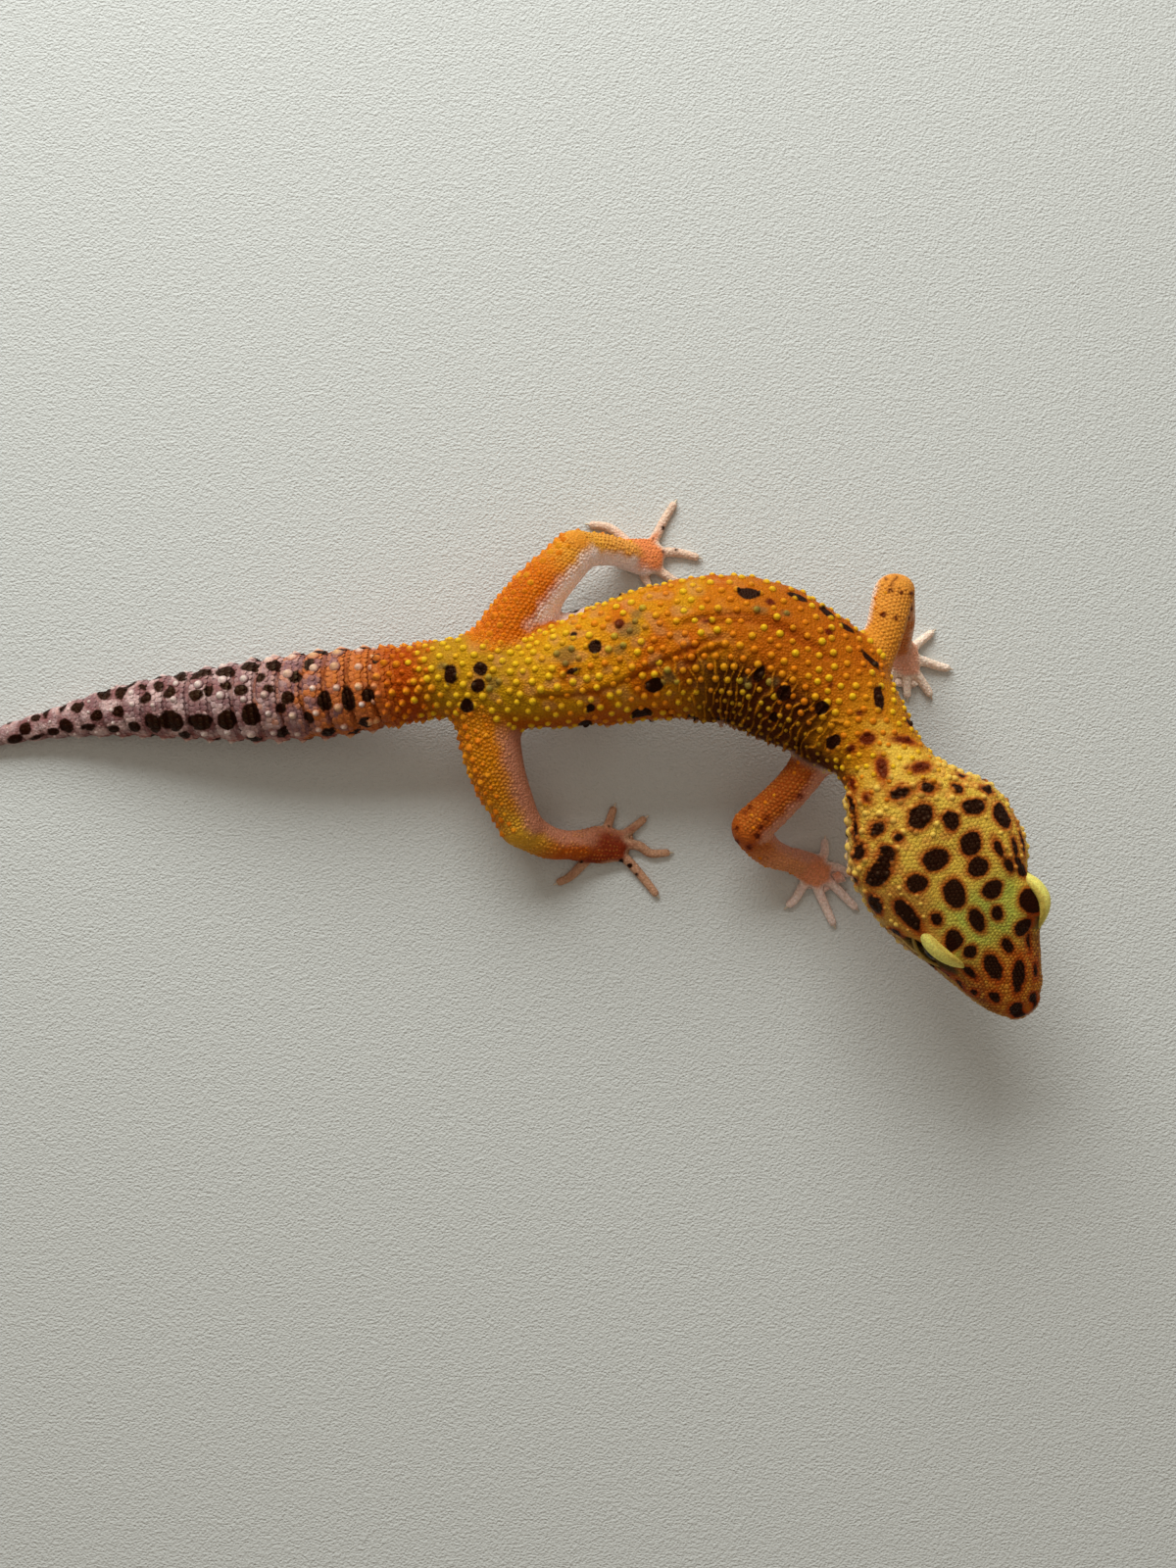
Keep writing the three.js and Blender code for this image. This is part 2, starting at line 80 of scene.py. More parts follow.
# Limbs: stations from hip or shoulder to knee or elbow, to ankle or wrist, and the palm, as
# x, y, z, half width, half height; then x and y of each toe's root, one or two joints, and tip.
LIMBS = {
    "hind_right": {
        "upper": [[5.6, 6.5, 10.2, 4.8, 4.4], [7.2, -3.0, 9.6, 4.2, 4.0], [10.6, -11.2, 7.4, 3.1, 3.0]],
        "lower": [[10.4, -11.6, 7.2, 3.0, 2.9], [14.8, -14.0, 4.6, 2.6, 2.5], [19.4, -14.4, 2.7, 2.1, 1.9]],
        "palm": [[18.4, -14.6, 2.3, 2.2, 1.7], [22.0, -14.4, 1.45, 2.9, 1.45], [25.0, -14.6, 1.05, 2.4, 1.1]],
        "toes": [
            [[21.8, -13.6], [23.1, -11.8], [24.4, -8.3]], [[23.6, -14.0], [26.1, -12.6], [29.3, -10.1]],
            [[24.2, -14.4], [27.6, -14.5], [29.6, -15.7], [33.0, -15.6]],
            [[23.8, -15.2], [26.1, -16.7], [28.7, -19.6], [30.9, -22.4]],
            [[21.4, -15.2], [19.6, -17.2], [17.6, -19.2], [15.2, -20.4]],
        ],
    },
    "hind_left": {
        "upper": [[6.8, 12.4, 10.4, 4.9, 4.4], [12.6, 21.2, 9.8, 4.1, 3.8], [18.6, 28.0, 8.2, 3.3, 3.0]],
        "lower": [[18.4, 28.2, 8.0, 2.8, 2.7], [22.6, 28.7, 5.2, 2.5, 2.4], [26.2, 28.2, 2.8, 2.0, 1.9]],
        "palm": [[25.2, 28.6, 2.3, 2.2, 1.7], [28.4, 28.2, 1.45, 2.8, 1.45], [30.6, 28.2, 1.05, 2.3, 1.1]],
        "toes": [
            [[28.2, 27.4], [28.6, 25.6], [29.7, 23.3]],
            [[29.2, 27.4], [31.0, 26.2], [32.9, 24.9], [34.8, 24.1]],
            [[29.8, 28.2], [31.8, 29.0], [34.1, 28.9], [37.3, 28.1]],
            [[29.0, 29.2], [30.4, 31.4], [31.6, 33.8], [33.5, 36.9]],
            [[27.2, 28.8], [25.6, 31.0], [23.4, 32.7], [19.9, 33.3]],
        ],
    },
    "front_right": {
        "upper": [[54.6, 1.4, 12.2, 3.2, 3.2], [49.4, -5.8, 11.4, 2.9, 2.8], [43.6, -11.8, 8.8, 3.1, 2.8]],
        "lower": [[43.8, -12.2, 8.4, 2.9, 2.6], [46.6, -15.2, 5.8, 2.4, 2.3], [51.4, -17.0, 3.0, 1.8, 1.7]],
        "palm": [[50.6, -16.6, 2.3, 1.9, 1.6], [53.2, -17.9, 1.35, 2.4, 1.35], [55.0, -19.2, 0.95, 2.0, 1.0]],
        "toes": [
            [[53.8, -17.4], [55.3, -16.0], [55.6, -13.1]],
            [[54.4, -17.9], [56.5, -17.7], [58.1, -18.2], [59.6, -19.4]],
            [[54.6, -19.0], [56.3, -20.0], [58.4, -22.1], [60.6, -24.3]],
            [[54.0, -19.4], [54.6, -21.4], [55.9, -24.3], [57.1, -26.9]],
            [[53.2, -18.8], [52.2, -20.6], [51.1, -22.5], [49.5, -24.0]],
        ],
    },
    "front_left": {
        "upper": [[58.2, 7.4, 12.4, 3.2, 3.2], [61.6, 14.6, 13.0, 2.9, 2.8], [63.7, 21.8, 11.4, 3.1, 2.8]],
        "lower": [[64.0, 21.9, 10.8, 3.0, 2.6], [65.6, 18.2, 6.6, 2.3, 2.2], [66.2, 15.0, 3.0, 1.8, 1.7]],
        "palm": [[66.0, 15.8, 2.3, 1.9, 1.6], [67.0, 13.4, 1.35, 2.4, 1.35], [67.8, 11.6, 0.95, 2.0, 1.0]],
        "toes": [
            [[66.4, 12.6], [65.6, 10.8], [64.6, 8.6]], [[67.2, 12.2], [67.6, 10.0], [67.8, 6.8]],
            [[67.8, 12.4], [69.3, 10.6], [70.6, 8.8], [71.5, 7.2]],
            [[68.0, 13.2], [70.2, 12.8], [72.4, 12.1], [74.6, 11.6]],
            [[67.6, 14.0], [69.5, 15.6], [72.0, 17.6]],
        ],
    },
}
TOE_ROOT_HEIGHTS = {"hind": (1.2, 0.7), "front": (1.1, 0.65)}     # at the root and first joint
TOE_END_HEIGHTS = (0.45, 0.42)                                    # at the second joint and the tip
TOE_RADII = (0.92, 0.66)   # at the root and at the end
CLAW_SHARE = 1.0           # a toe's flesh ends this far before its last place
COAT_DEPTH = 0.35          # the skin lies this far inside the tubercles' tips on the trunk and tail
HEAD_COAT_DEPTH = 0.08     # the same on the head
LIMB_COAT_DEPTH = 0.22     # the same on the legs
TOE_COAT_DEPTH = 0.10      # the same on the palms and toes
# A loose fold of belly skin between the left thigh and the flank: x, y, z, half width, half height.
GROIN_FOLD = [[9.5, 13.2, 8.8, 1.5, 1.6], [14.0, 15.8, 8.4, 1.5, 1.8], [18.6, 18.0, 8.2, 1.4, 2.0],
              [23.0, 19.6, 8.4, 1.1, 1.8]]
SKIN_VOXEL = 0.66          # size of the cells in which the forms are melted together
FAR = 50.0                 # stands for the distance to a part that is nowhere near
# Width of the fillet where each kind of part melts into the rest.
FILLETS = {"toe": 0.5, "palm": 0.9, "fold": 0.8, "lid": 1.3, "limb": 2.4}


def catmull_rom(rows, t):
    """Smooth curve through rows of numbers: in each span a cubic that leaves and meets its rows
    with half the chord between their neighbours as slope."""
    rows = np.asarray(rows, float)
    ends = np.vstack([2 * rows[0] - rows[1], rows, 2 * rows[-1] - rows[-2]])
    span = np.clip(np.floor(t).astype(int), 0, len(rows) - 2)
    f = (t - span)[:, None]
    before, start, end, after = (ends[span + i] for i in range(4))
    slope_in, slope_out = (end - before) / 2, (after - start) / 2
    return ((2 * f**3 - 3 * f**2 + 1) * start + (f**3 - 2 * f**2 + f) * slope_in
            + (3 * f**2 - 2 * f**3) * end + (f**3 - f**2) * slope_out)


def unit(vectors):
    return vectors / np.maximum(np.linalg.norm(vectors, axis=-1, keepdims=True), 1e-9)


def smoothstep(low, high, x):
    """0 below low, 1 above high, and 3f^2 - 2f^3 of the way f between them."""
    f = np.clip((x - low) / (high - low), 0, 1)
    return f * f * (3 - 2 * f)


def bell(x, width):
    """1 at 0, falling off on both sides like a bell of the given width."""
    return np.exp(-(x / width)**2)


def swept(rows, samples, inset=0.0):
    """A swept form as samples along its path: centre, left, up and along axes, girths and run,
    which is the distance along the path. Left is level, and up is square to left and along."""
    rows = np.asarray(rows, float)
    if rows.shape[1] == 5:
        rows = np.column_stack([rows, rows[:, 4]])
    values = catmull_rom(rows, np.linspace(0, len(rows) - 1, samples))
    centre, girth = values[:, :3], np.maximum(values[:, 3:] - inset, 0.25)
    along = unit(np.gradient(centre, axis=0))
    left = unit(np.cross([0.0, 0.0, 1.0], along))
    up = np.cross(along, left)
    run = np.concatenate([[0], np.cumsum(np.linalg.norm(np.diff(centre, axis=0), axis=1))])
    return SimpleNamespace(centre=centre, left=left, up=up, along=along, girth=girth, run=run)


def at_run(form, run):
    """The form's centre, axes and girths at any distance along its path."""
    pick = lambda table: np.column_stack([np.interp(run, form.run, table[:, i]) for i in range(3)])
    return SimpleNamespace(centre=pick(form.centre), left=unit(pick(form.left)), up=unit(pick(form.up)),
                           along=unit(pick(form.along)), girth=pick(form.girth))


def places_on(form, points):
    """For each point, the run of the nearest place on the path, and the offsets from it: left, up
    and past the ends."""
    shortest = np.full(len(points), 1e12)
    nearest = np.zeros(len(points), int)
    for start in range(0, len(form.centre), 128):
        part = form.centre[start:start + 128]
        squared = (part**2).sum(1) - 2 * points @ part.T
        best = squared.argmin(1)
        value = squared[np.arange(len(points)), best]
        closer = value < shortest
        shortest[closer], nearest[closer] = value[closer], best[closer] + start
    offset = points - form.centre[nearest]
    raw_run = form.run[nearest] + (offset * form.along[nearest]).sum(1)
    run = np.clip(raw_run, 0, form.run[-1])
    here = at_run(form, run)
    offset = points - here.centre
    return SimpleNamespace(run=run, past=raw_run - run, left=(offset * here.left).sum(1),
                           up=(offset * here.up).sum(1), girth=here.girth)


def rise_or_drop(girth, up):
    """The half height of a section on the side where up is."""
    return np.where(up >= 0, girth[:, 1], girth[:, 2])


def on_section(girth, power, turn):
    """Left and up of a section's edge at a turn from its top: left = width sin^p, up = rise or
    drop cos^p."""
    curved = lambda wave: np.sign(wave) * np.abs(wave)**power
    return girth[:, 0] * curved(np.sin(turn)), rise_or_drop(girth, np.cos(turn)) * curved(np.cos(turn))


def on_form(form, run, turn, power=1):
    """Points on the form's surface at distances along its path and turns from its top."""
    here = at_run(form, run)
    left, up = on_section(here.girth, power, turn)
    return here.centre + left[:, None] * here.left + up[:, None] * here.up


def distance_to(form, points, squareness=lambda run: 2.0):
    """Roughly the distance to the swept surface, negative inside: the point's offset is measured
    against the section |l/w|^n + |u/h|^n = 1, and the ends are rounded off."""
    at = places_on(form, points)
    width, height = at.girth[:, 0], rise_or_drop(at.girth, at.up)
    n = squareness(at.run)
    end = np.minimum(width, height)
    section = (np.abs(at.left / width)**n + np.abs(at.up / height)**n)**(1 / n)
    reach = np.sqrt(section**2 + (at.past / end)**2)
    length = np.sqrt(at.left**2 + at.up**2 + at.past**2)
    size = np.where(reach > 0.25, length / np.maximum(reach, 0.25), end)
    return (reach - 1) * size, at


def melt(a, b, width):
    """Smooth union of two distances: the smaller one, rounded over a fillet of the given width."""
    overlap = np.maximum(width - np.abs(a - b), 0) / width
    return np.minimum(a, b) - overlap**2 * width / 4


# ---- the animal's forms ----
head_forward = np.array([np.cos(HEAD_YAW) * np.cos(HEAD_PITCH),
                         np.sin(HEAD_YAW) * np.cos(HEAD_PITCH), -np.sin(HEAD_PITCH)])
head_left = unit(np.cross([0.0, 0.0, 1.0], head_forward))
head_up = np.cross(head_forward, head_left)
head_axes = np.array([-head_forward, head_left, head_up])


def from_head(back, left, up):
    """A place given as distances behind the snout tip, to the animal's left and up."""
    return SNOUT_TIP + np.column_stack(np.broadcast_arrays(back, left, up)) @ head_axes


def to_head(points):
    return (points - SNOUT_TIP) @ head_axes.T


head_rows = [[*from_head(back, left, 0)[0], *girth] for back, left, *girth in HEAD_STATIONS]
body = swept(TRUNK_STATIONS + head_rows, 640)
BODY_LENGTH = body.run[-1]
head_amount = smoothstep(150, 162, body.run)
body.girth -= (COAT_DEPTH * (1 - head_amount) + HEAD_COAT_DEPTH * head_amount)[:, None]
body.girth = np.maximum(body.girth, 0.3)


def section_power(run):
    """Exponent of the body's section curves: 1 is an ellipse, and the head is a little squarer."""
    return 1 - 0.16 * np.clip((run - 150) / 12, 0, 1)


def body_squareness(run):
    return 2 / section_power(run)


def toe_form(kind, places):
    """A toe from its root to where the claw starts, evenly tapered. Only long ones have a second
    joint."""
    heights = (TOE_ROOT_HEIGHTS[kind] + TOE_END_HEIGHTS)[:len(places) - 1] + TOE_END_HEIGHTS[-1:]
    places = np.column_stack([places, heights])
    places[-1] -= CLAW_SHARE * unit(places[-1] - places[-2])
    radii = np.linspace(*TOE_RADII, len(places))
    return swept(np.column_stack([places, radii, radii]), 24, TOE_COAT_DEPTH)


limb_forms = {
    name: SimpleNamespace(upper=swept(limb["upper"], 40, LIMB_COAT_DEPTH),
                          lower=swept(limb["lower"], 40, LIMB_COAT_DEPTH),
                          palm=swept(limb["palm"], 24, TOE_COAT_DEPTH),
                          toes=[toe_form(name.split("_")[0], places) for places in limb["toes"]],
                          web=1.1 if "hind" in name else 0.5)
    for name, limb in LIMBS.items()
}

groin_fold = swept(GROIN_FOLD, 30)
# Bulges of the skin over the right and the left eye, in the head's directions: back, left, up.
LID_BULGES = np.array([[14.4, -6.1, 1.7], [14.0, 6.6, 1.6]])
BULGE_RADII = np.array([4.4, 3.0, 3.0])


def limb_distance(limb, points):
    """The limb's parts melted together: knees and wrists softly, toes with a small web. Also tells
    thigh or upper arm, 0, from shin or forearm, 1."""
    upper, lower, foot = (distance_to(form, points)[0] for form in (limb.upper, limb.lower, limb.palm))
    for toe in limb.toes:
        foot = melt(foot, distance_to(toe, points)[0], FILLETS["toe"])
    whole = melt(melt(upper, lower, limb.web), foot, FILLETS["palm"])
    return whole, smoothstep(-0.8, 0.8, upper - np.minimum(lower, foot))


def skin_distance(points):
    """Distance to the whole skin: trunk and head, the lids' bulges, the groin's fold, then the four
    limbs, all melted together and cut level with the floor. Also gives the distances of the parts."""
    whole, at = distance_to(body, points, body_squareness)
    at.fold = np.full(len(points), FAR)
    near_fold = (np.abs(points - [16.5, 16.5, 8.5]) < [13, 10, 9]).all(axis=1)
    at.fold[near_fold] = distance_to(groin_fold, points[near_fold])[0]
    whole = melt(whole, at.fold, FILLETS["fold"])
    near_head = at.run > BODY_LENGTH - 30
    local = to_head(points[near_head])
    bumps = whole[near_head]
    for bulge in LID_BULGES:
        offset = (local - bulge) / BULGE_RADII
        bumps = melt(bumps, (np.linalg.norm(offset, axis=1) - 1) * BULGE_RADII[2], FILLETS["lid"])
    whole[near_head] = bumps
    at.trunk = whole.copy()
    at.limb = np.full(len(points), FAR)
    at.limb_index = np.full(len(points), -1)
    at.shin = np.zeros(len(points))
    for index, limb in enumerate(limb_forms.values()):
        inner = np.vstack([limb.upper.centre, limb.lower.centre, *[toe.centre for toe in limb.toes]])
        near = np.flatnonzero(np.all((points > inner.min(0) - 8) & (points < inner.max(0) + 8), axis=1))
        away, shin = limb_distance(limb, points[near])
        whole[near] = melt(whole[near], away, FILLETS["limb"])
        here = away < at.limb[near]
        closer = near[here]
        at.limb[closer], at.shin[closer], at.limb_index[closer] = away[here], shin[here], index
    return np.maximum(whole, -points[:, 2]), at


def skin_normal(points, step=0.04):
    """Direction in which the distance grows fastest, from differences along the three axes."""
    slopes = [skin_distance(points + step * axis)[0] - skin_distance(points - step * axis)[0]
              for axis in np.eye(3)]
    return unit(np.column_stack(slopes))


def ring_quads(rings, sides):
    """Faces between the neighbouring rings of a tube, whose points are counted ring by ring."""
    row, side = np.meshgrid(np.arange(rings - 1), np.arange(sides), indexing="ij")
    a, b = row * sides + side, row * sides + (side + 1) % sides
    return np.stack([a, b, b + sides, a + sides], axis=-1).reshape(-1, 4).tolist()


def fan(start, sides, point, backwards=False):
    """Triangles between the ring that starts at the given number and one end point."""
    turn = np.arange(sides)
    here, after = start + turn, start + (turn + 1) % sides
    pair = (after, here) if backwards else (here, after)
    return np.column_stack([*pair, np.full(sides, point)]).tolist()


def rings_round(centre, across, out, width, height, turn):
    """Elliptic rings round the places of a middle line, with the first axis across it."""
    return (centre[:, None] + (width * np.cos(turn))[..., None] * across[:, None]
            + (height * np.sin(turn))[..., None] * out[:, None])


def closed_tube(form, sides=20):
    """Rough closed surface of a swept form: rings of the section, fanned shut at both ends. Thin
    ones are fattened, so that the melting keeps them whole."""
    girth = np.maximum(form.girth, 1.35 * SKIN_VOXEL)
    angle = np.linspace(0, 2 * np.pi, sides, endpoint=False)
    height = np.where(np.sin(angle) >= 0, girth[:, 1:2], girth[:, 2:3])
    rings = rings_round(form.centre, form.left, form.up, girth[:, :1], height, angle)
    reach = np.minimum(girth[:, 0], girth[:, 1])
    first = form.centre[0] - form.along[0] * reach[0] * 0.6
    last = form.centre[-1] + form.along[-1] * reach[-1] * 0.6
    count = len(form.centre)
    faces = ring_quads(count, sides) + fan(0, sides, count * sides, backwards=True)
    faces += fan((count - 1) * sides, sides, count * sides + 1)
    return np.vstack([rings.reshape(-1, 3), first, last]), faces


def mesh_from(name, points, faces):
    """A mesh in metres from points in millimetres."""
    mesh = bpy.data.meshes.new(name)
    mesh.from_pydata((np.asarray(points) * MM).tolist(), [], faces)
    mesh.update()
    return mesh


def points_of(mesh):
    """A mesh's vertices in millimetres."""
    flat = np.empty(len(mesh.vertices) * 3)
    mesh.vertices.foreach_get("co", flat)
    return flat.reshape(-1, 3) / MM


def set_points(mesh, points):
    mesh.vertices.foreach_set("co", (points * MM).ravel())
    mesh.update()


def normals_of(mesh):
    flat = np.empty(len(mesh.vertices) * 3)
    mesh.vertex_normals.foreach_get("vector", flat)
    return flat.reshape(-1, 3)


def shade_smooth(mesh):
    mesh.polygons.foreach_set("use_smooth", np.ones(len(mesh.polygons), bool))


def smooth_solid(name, points, faces):
    """A smooth mesh whose faces all look outwards."""
    mesh = mesh_from(name, points, faces)
    form = bmesh.new()
    form.from_mesh(mesh)
    bmesh.ops.recalc_face_normals(form, faces=form.faces)
    form.to_mesh(mesh)
    form.free()
    shade_smooth(mesh)
    return mesh


def add_object(name, data):
    """A new object of the scene with the given mesh, light or camera."""
    thing = bpy.data.objects.new(name, data)
    bpy.context.scene.collection.objects.link(thing)
    return thing


def melted_mesh():
    """Melts the rough tubes into one closed mesh of even quads."""
    points, faces, count = [], [], 0
    forms = [body, groin_fold]
    for limb in limb_forms.values():
        forms += [limb.upper, limb.lower, limb.palm, *limb.toes]
    for bulge in LID_BULGES:
        middle = from_head(*bulge)[0]
        rows = [[*(middle - head_forward * BULGE_RADII[0] * x), *(BULGE_RADII[1:] * np.sqrt(1 - x * x))]
                for x in np.linspace(-0.95, 0.95, 9)]
        forms.append(swept(rows, 30))
    for form in forms:
        tube_points, tube_faces = closed_tube(form)
        points.append(tube_points)
        faces += [[i + count for i in face] for face in tube_faces]
        count += len(tube_points)
    rough = add_object("rough_skin", mesh_from("rough_skin", np.vstack(points), faces))
    remesh = rough.modifiers.new("melt", "REMESH")
    remesh.mode = "VOXEL"
    remesh.voxel_size = SKIN_VOXEL * MM
    melted = bpy.data.meshes.new_from_object(rough.evaluated_get(bpy.context.evaluated_depsgraph_get()))
    bpy.data.objects.remove(rough)
    return melted


def split_finer(mesh, wanted):
    """Halves every edge of the faces whose vertices are all wanted."""
    form = bmesh.new()
    form.from_mesh(mesh)
    form.verts.ensure_lookup_table()
    picked = [face for face in form.faces if all(wanted[vertex.index] for vertex in face.verts)]
    edges = list({edge for face in picked for edge in face.edges})
    bmesh.ops.subdivide_edges(form, edges=edges, cuts=1, use_grid_fill=True)
    form.to_mesh(mesh)
    form.free()
    mesh.update()


def evened(mesh, rounds):
    """Slides each vertex along the surface towards the middle of its neighbours, then back onto
    the skin along its normal."""
    ends = np.empty(len(mesh.edges) * 2, int)
    mesh.edges.foreach_get("vertices", ends)
    a, b = ends.reshape(-1, 2).T
    count = len(mesh.vertices)
    friends = np.bincount(a, minlength=count) + np.bincount(b, minlength=count)
    points = points_of(mesh)
    for _ in range(rounds):
        total = np.column_stack([np.bincount(a, points[b, i], count) + np.bincount(b, points[a, i], count)
                                 for i in range(3)])
        pull = total / friends[:, None] - points
        normal = normals_of(mesh)
        points += 0.6 * (pull - (pull * normal).sum(1)[:, None] * normal)
        away, _ = skin_distance(points)
        points -= np.clip(away, -0.5, 0.5)[:, None] * normal
        points[:, 2] = np.maximum(points[:, 2], 0)
        set_points(mesh, points)
    return points


# Two rounds of splitting: the back, the flanks and the feet, then the puckers and the eyes again.
skin_mesh = melted_mesh()
points = points_of(skin_mesh)
_, at = skin_distance(points)
back_and_sides = (at.limb > 0.6) & (at.up > -0.35 * at.girth[:, 2])
feet = (points[:, 2] < 1.9) & (at.limb < 0.6)
split_finer(skin_mesh, back_and_sides | feet)
points = points_of(skin_mesh)
_, at = skin_distance(points)
wrinkled = ((np.abs(at.run - 131) < 19) & (at.left < -0.12 * at.girth[:, 0]) & (at.limb > 0.6)
            & (at.up > -0.2 * at.girth[:, 2]))
at_eyes = np.linalg.norm(np.abs(to_head(points)) - [EYE_BACK, 7.6, 2.0], axis=1) < 4.8
split_finer(skin_mesh, wrinkled | at_eyes)
points = evened(skin_mesh, 4)


# ---- where a point lies on the animal ----
def section_curve(girth, power, turn):
    """Arcs of half sections measured from the spine down to each turn, one column for each row of
    girths."""
    steps = np.hypot(*(np.diff(place, axis=0) for place in on_section(girth, power, turn)))
    return np.vstack([np.zeros(len(girth)), np.cumsum(steps, axis=0)])


def head_shift(run):
    """How far the head's middle line lies beside its middle plane: arcs there count from the plane."""
    back, left = np.array(HEAD_STATIONS)[::-1, :2].T
    return np.interp(BODY_LENGTH - run, [*back, 34.5], [*left, 0.0])


def arc_from_spine(at):
    """Distance round the section from the line along the back and the turn there, both positive
    on the left."""
    power = section_power(at.run)
    across = (np.abs(at.left) / at.girth[:, 0])**(1 / power)
    upwards = (np.abs(at.up) / rise_or_drop(at.girth, at.up))**(1 / power)
    turn = np.arctan2(across, upwards * np.sign(at.up))
    arc = section_curve(at.girth, power, np.linspace(0, 1, 33)[:, None] * turn)[-1]
    return np.sign(at.left) * arc + head_shift(at.run), np.sign(at.left) * turn


def turn_of_arc(run, arc):
    """The turn from the spine at which the arc has the given length."""
    turns = np.linspace(0, np.pi, 61)[:, None] * np.ones(len(run))
    table = section_curve(at_run(body, run).girth, section_power(run), turns)
    step = np.clip((table < np.abs(arc)).sum(0), 1, 60)
    column = np.arange(len(run))
    low, high = table[step - 1, column], table[step, column]
    share = np.clip((np.abs(arc) - low) / np.maximum(high - low, 1e-6), 0, 1)
    return np.sign(arc) * (step - 1 + share) * np.pi / 60


def ripple(points, scale, seed):
    """Smooth noise from -1 to 1: the mean of waves of about the given length in random directions."""
    dice = np.random.default_rng(seed)
    directions = unit(dice.normal(size=(9, 3))) * 2 * np.pi / scale * dice.uniform(0.7, 1.4, (9, 1))
    return np.sin(points @ directions.T + dice.uniform(0, 2 * np.pi, 9)).sum(1) / 4.2


def chance(seed, points):
    """A number from 0 to 1 for each point."""
    return np.random.default_rng(seed).uniform(0, 1, len(points))


def near_line(at, line, width):
    """1 on a line of (run, arc) corners over the body, falling to 0 like a bell of that width."""
    line = np.asarray(line, float)
    start, step = line[:-1, None], np.diff(line, axis=0)[:, None]
    offset = np.column_stack([at.run, at.arc])[None] - start
    share = np.clip((offset * step).sum(-1) / (step**2).sum(-1), 0, 1)
    gap = np.linalg.norm(offset - share[..., None] * step, axis=-1).min(0)
    return bell(gap, width)


WHORL_PITCH = 3.4          # length of one ring of the tail
PUCKER_PITCH = 1.75        # distance between two ridges of bunched hide
BACK_FOLDS = [
    [(98, -2.3), (102, -3.3), (106, -3.7), (110, -3.3), (114, -2.4), (118, -1.2), (121, -0.1), (124, 1.0)],
    [(119, -2.6), (121.5, -1.4), (124, -0.5)],
    [(119, 3.0), (122, 3.7), (126, 4.4), (130, 4.7), (134, 4.4), (138, 3.6)],
    [(123, 2.9), (127, 3.6), (131, 3.9), (135, 3.4)],
]
NECK_FOLDS = [
    [(146, -4), (147.5, -8), (147, -13)], [(150.5, -4), (151, -8), (150, -13)],
    [(154, -5), (154, -9), (153, -14)], [(143, -6), (143.5, -10), (143, -14)],
]


def whorl_profile(run):
    """Shape along the tail, from about -1 to 0.3: each ring bulges most towards the tip and meets
    the next in a narrow groove. Also tells how far into a groove a place is, from 0 to 1."""
    share = ((run + 0.3) / WHORL_PITCH) % 1
    groove = bell(np.minimum(share, 1 - share) * WHORL_PITCH, 0.30)
    return 0.95 * np.sin(np.pi * share**0.75)**0.9 - 0.62 - 0.4 * groove, groove


def lines_at(at, lines, width, beside=0.0):
    """The sum of several lines over the body, each set off to the left by the same distance."""
    return sum(near_line(at, [(run, arc + beside) for run, arc in line], width) for line in lines)


def relief_at(points, at):
    """How far the finished skin stands off its smooth form: rings of the tail, folds of the back,
    puckers of the flank, hollows and rims of the head. Notes grooves and ridges for the colours."""
    ramp = lambda low, high: smoothstep(low, high, at.run)
    on_trunk = smoothstep(0.3, 2.5, at.limb)
    tail = ramp(79, 75) * np.clip(at.girth[:, 0] / 5.5, 0.12, 1)
    rings, at.groove = whorl_profile(at.run + 0.35 * np.cos(at.turn * 2))
    at.groove = at.groove * ramp(79, 75) * on_trunk
    relief = 0.80 * tail * rings * on_trunk
    at.fold_line = lines_at(at, BACK_FOLDS, 0.42) * on_trunk
    relief -= 0.34 * at.fold_line * (0.7 + 0.4 * ripple(points, 4, 13))
    relief += 0.24 * lines_at(at, BACK_FOLDS, 0.6, beside=0.9) * on_trunk
    for fold in NECK_FOLDS:
        relief -= 0.35 * near_line(at, fold, 0.4) * on_trunk
    at.pucker, between = (part * on_trunk for part in puckers(points, at))
    relief += 0.34 * at.pucker - 0.18 * between
    loose = ramp(110, 116) * ramp(134, 126) * smoothstep(-0.95, -1.3, at.turn)
    relief += 0.55 * loose * np.maximum(ripple(points * [1.0, 1.0, 0.7], 1.9, 5) + 0.1, 0) * on_trunk
    slack = ramp(96, 106) * ramp(150, 140) * smoothstep(0.9, 1.5, np.abs(at.turn))
    relief += 0.20 * slack * ripple(points * [1, 1, 0.6], 3.2, 5) * on_trunk
    return relief + head_relief(at)


def puckers(points, at):
    """Thin wavy ridges that run down the inside of the bend, where the loose hide bunches up, and
    the hollows between them."""
    inside = smoothstep(112, 117, at.run) * smoothstep(150, 144, at.run) * smoothstep(-0.2, -1.7, at.arc)
    phase = at.run / PUCKER_PITCH + 0.30 * ripple(points, 3.4, 11) + 0.35 * ripple(points, 9, 14)
    place = (phase + 0.05 * at.arc + 0.5) % 1 - 0.5
    strength = np.clip(0.75 + 0.6 * ripple(points, 3.0, 12), 0, 1.2)
    ridge = bell(place * PUCKER_PITCH, 0.17)
    return inside * strength * ridge, inside * (1 - ridge)


# Places on the head as back, up or back, left, up.
MOUTH = [(0.0, -1.0), (4.0, -1.35), (10.0, -1.7), (16.0, -1.6), (21.0, -1.1), (24.0, -0.4)]
NOSTRIL = np.array([2.3, 2.75, 0.9])
EAR = np.array([28.0, 10.6, -0.6])
LIP_SCALE = 1.25           # length of one scale of the lips
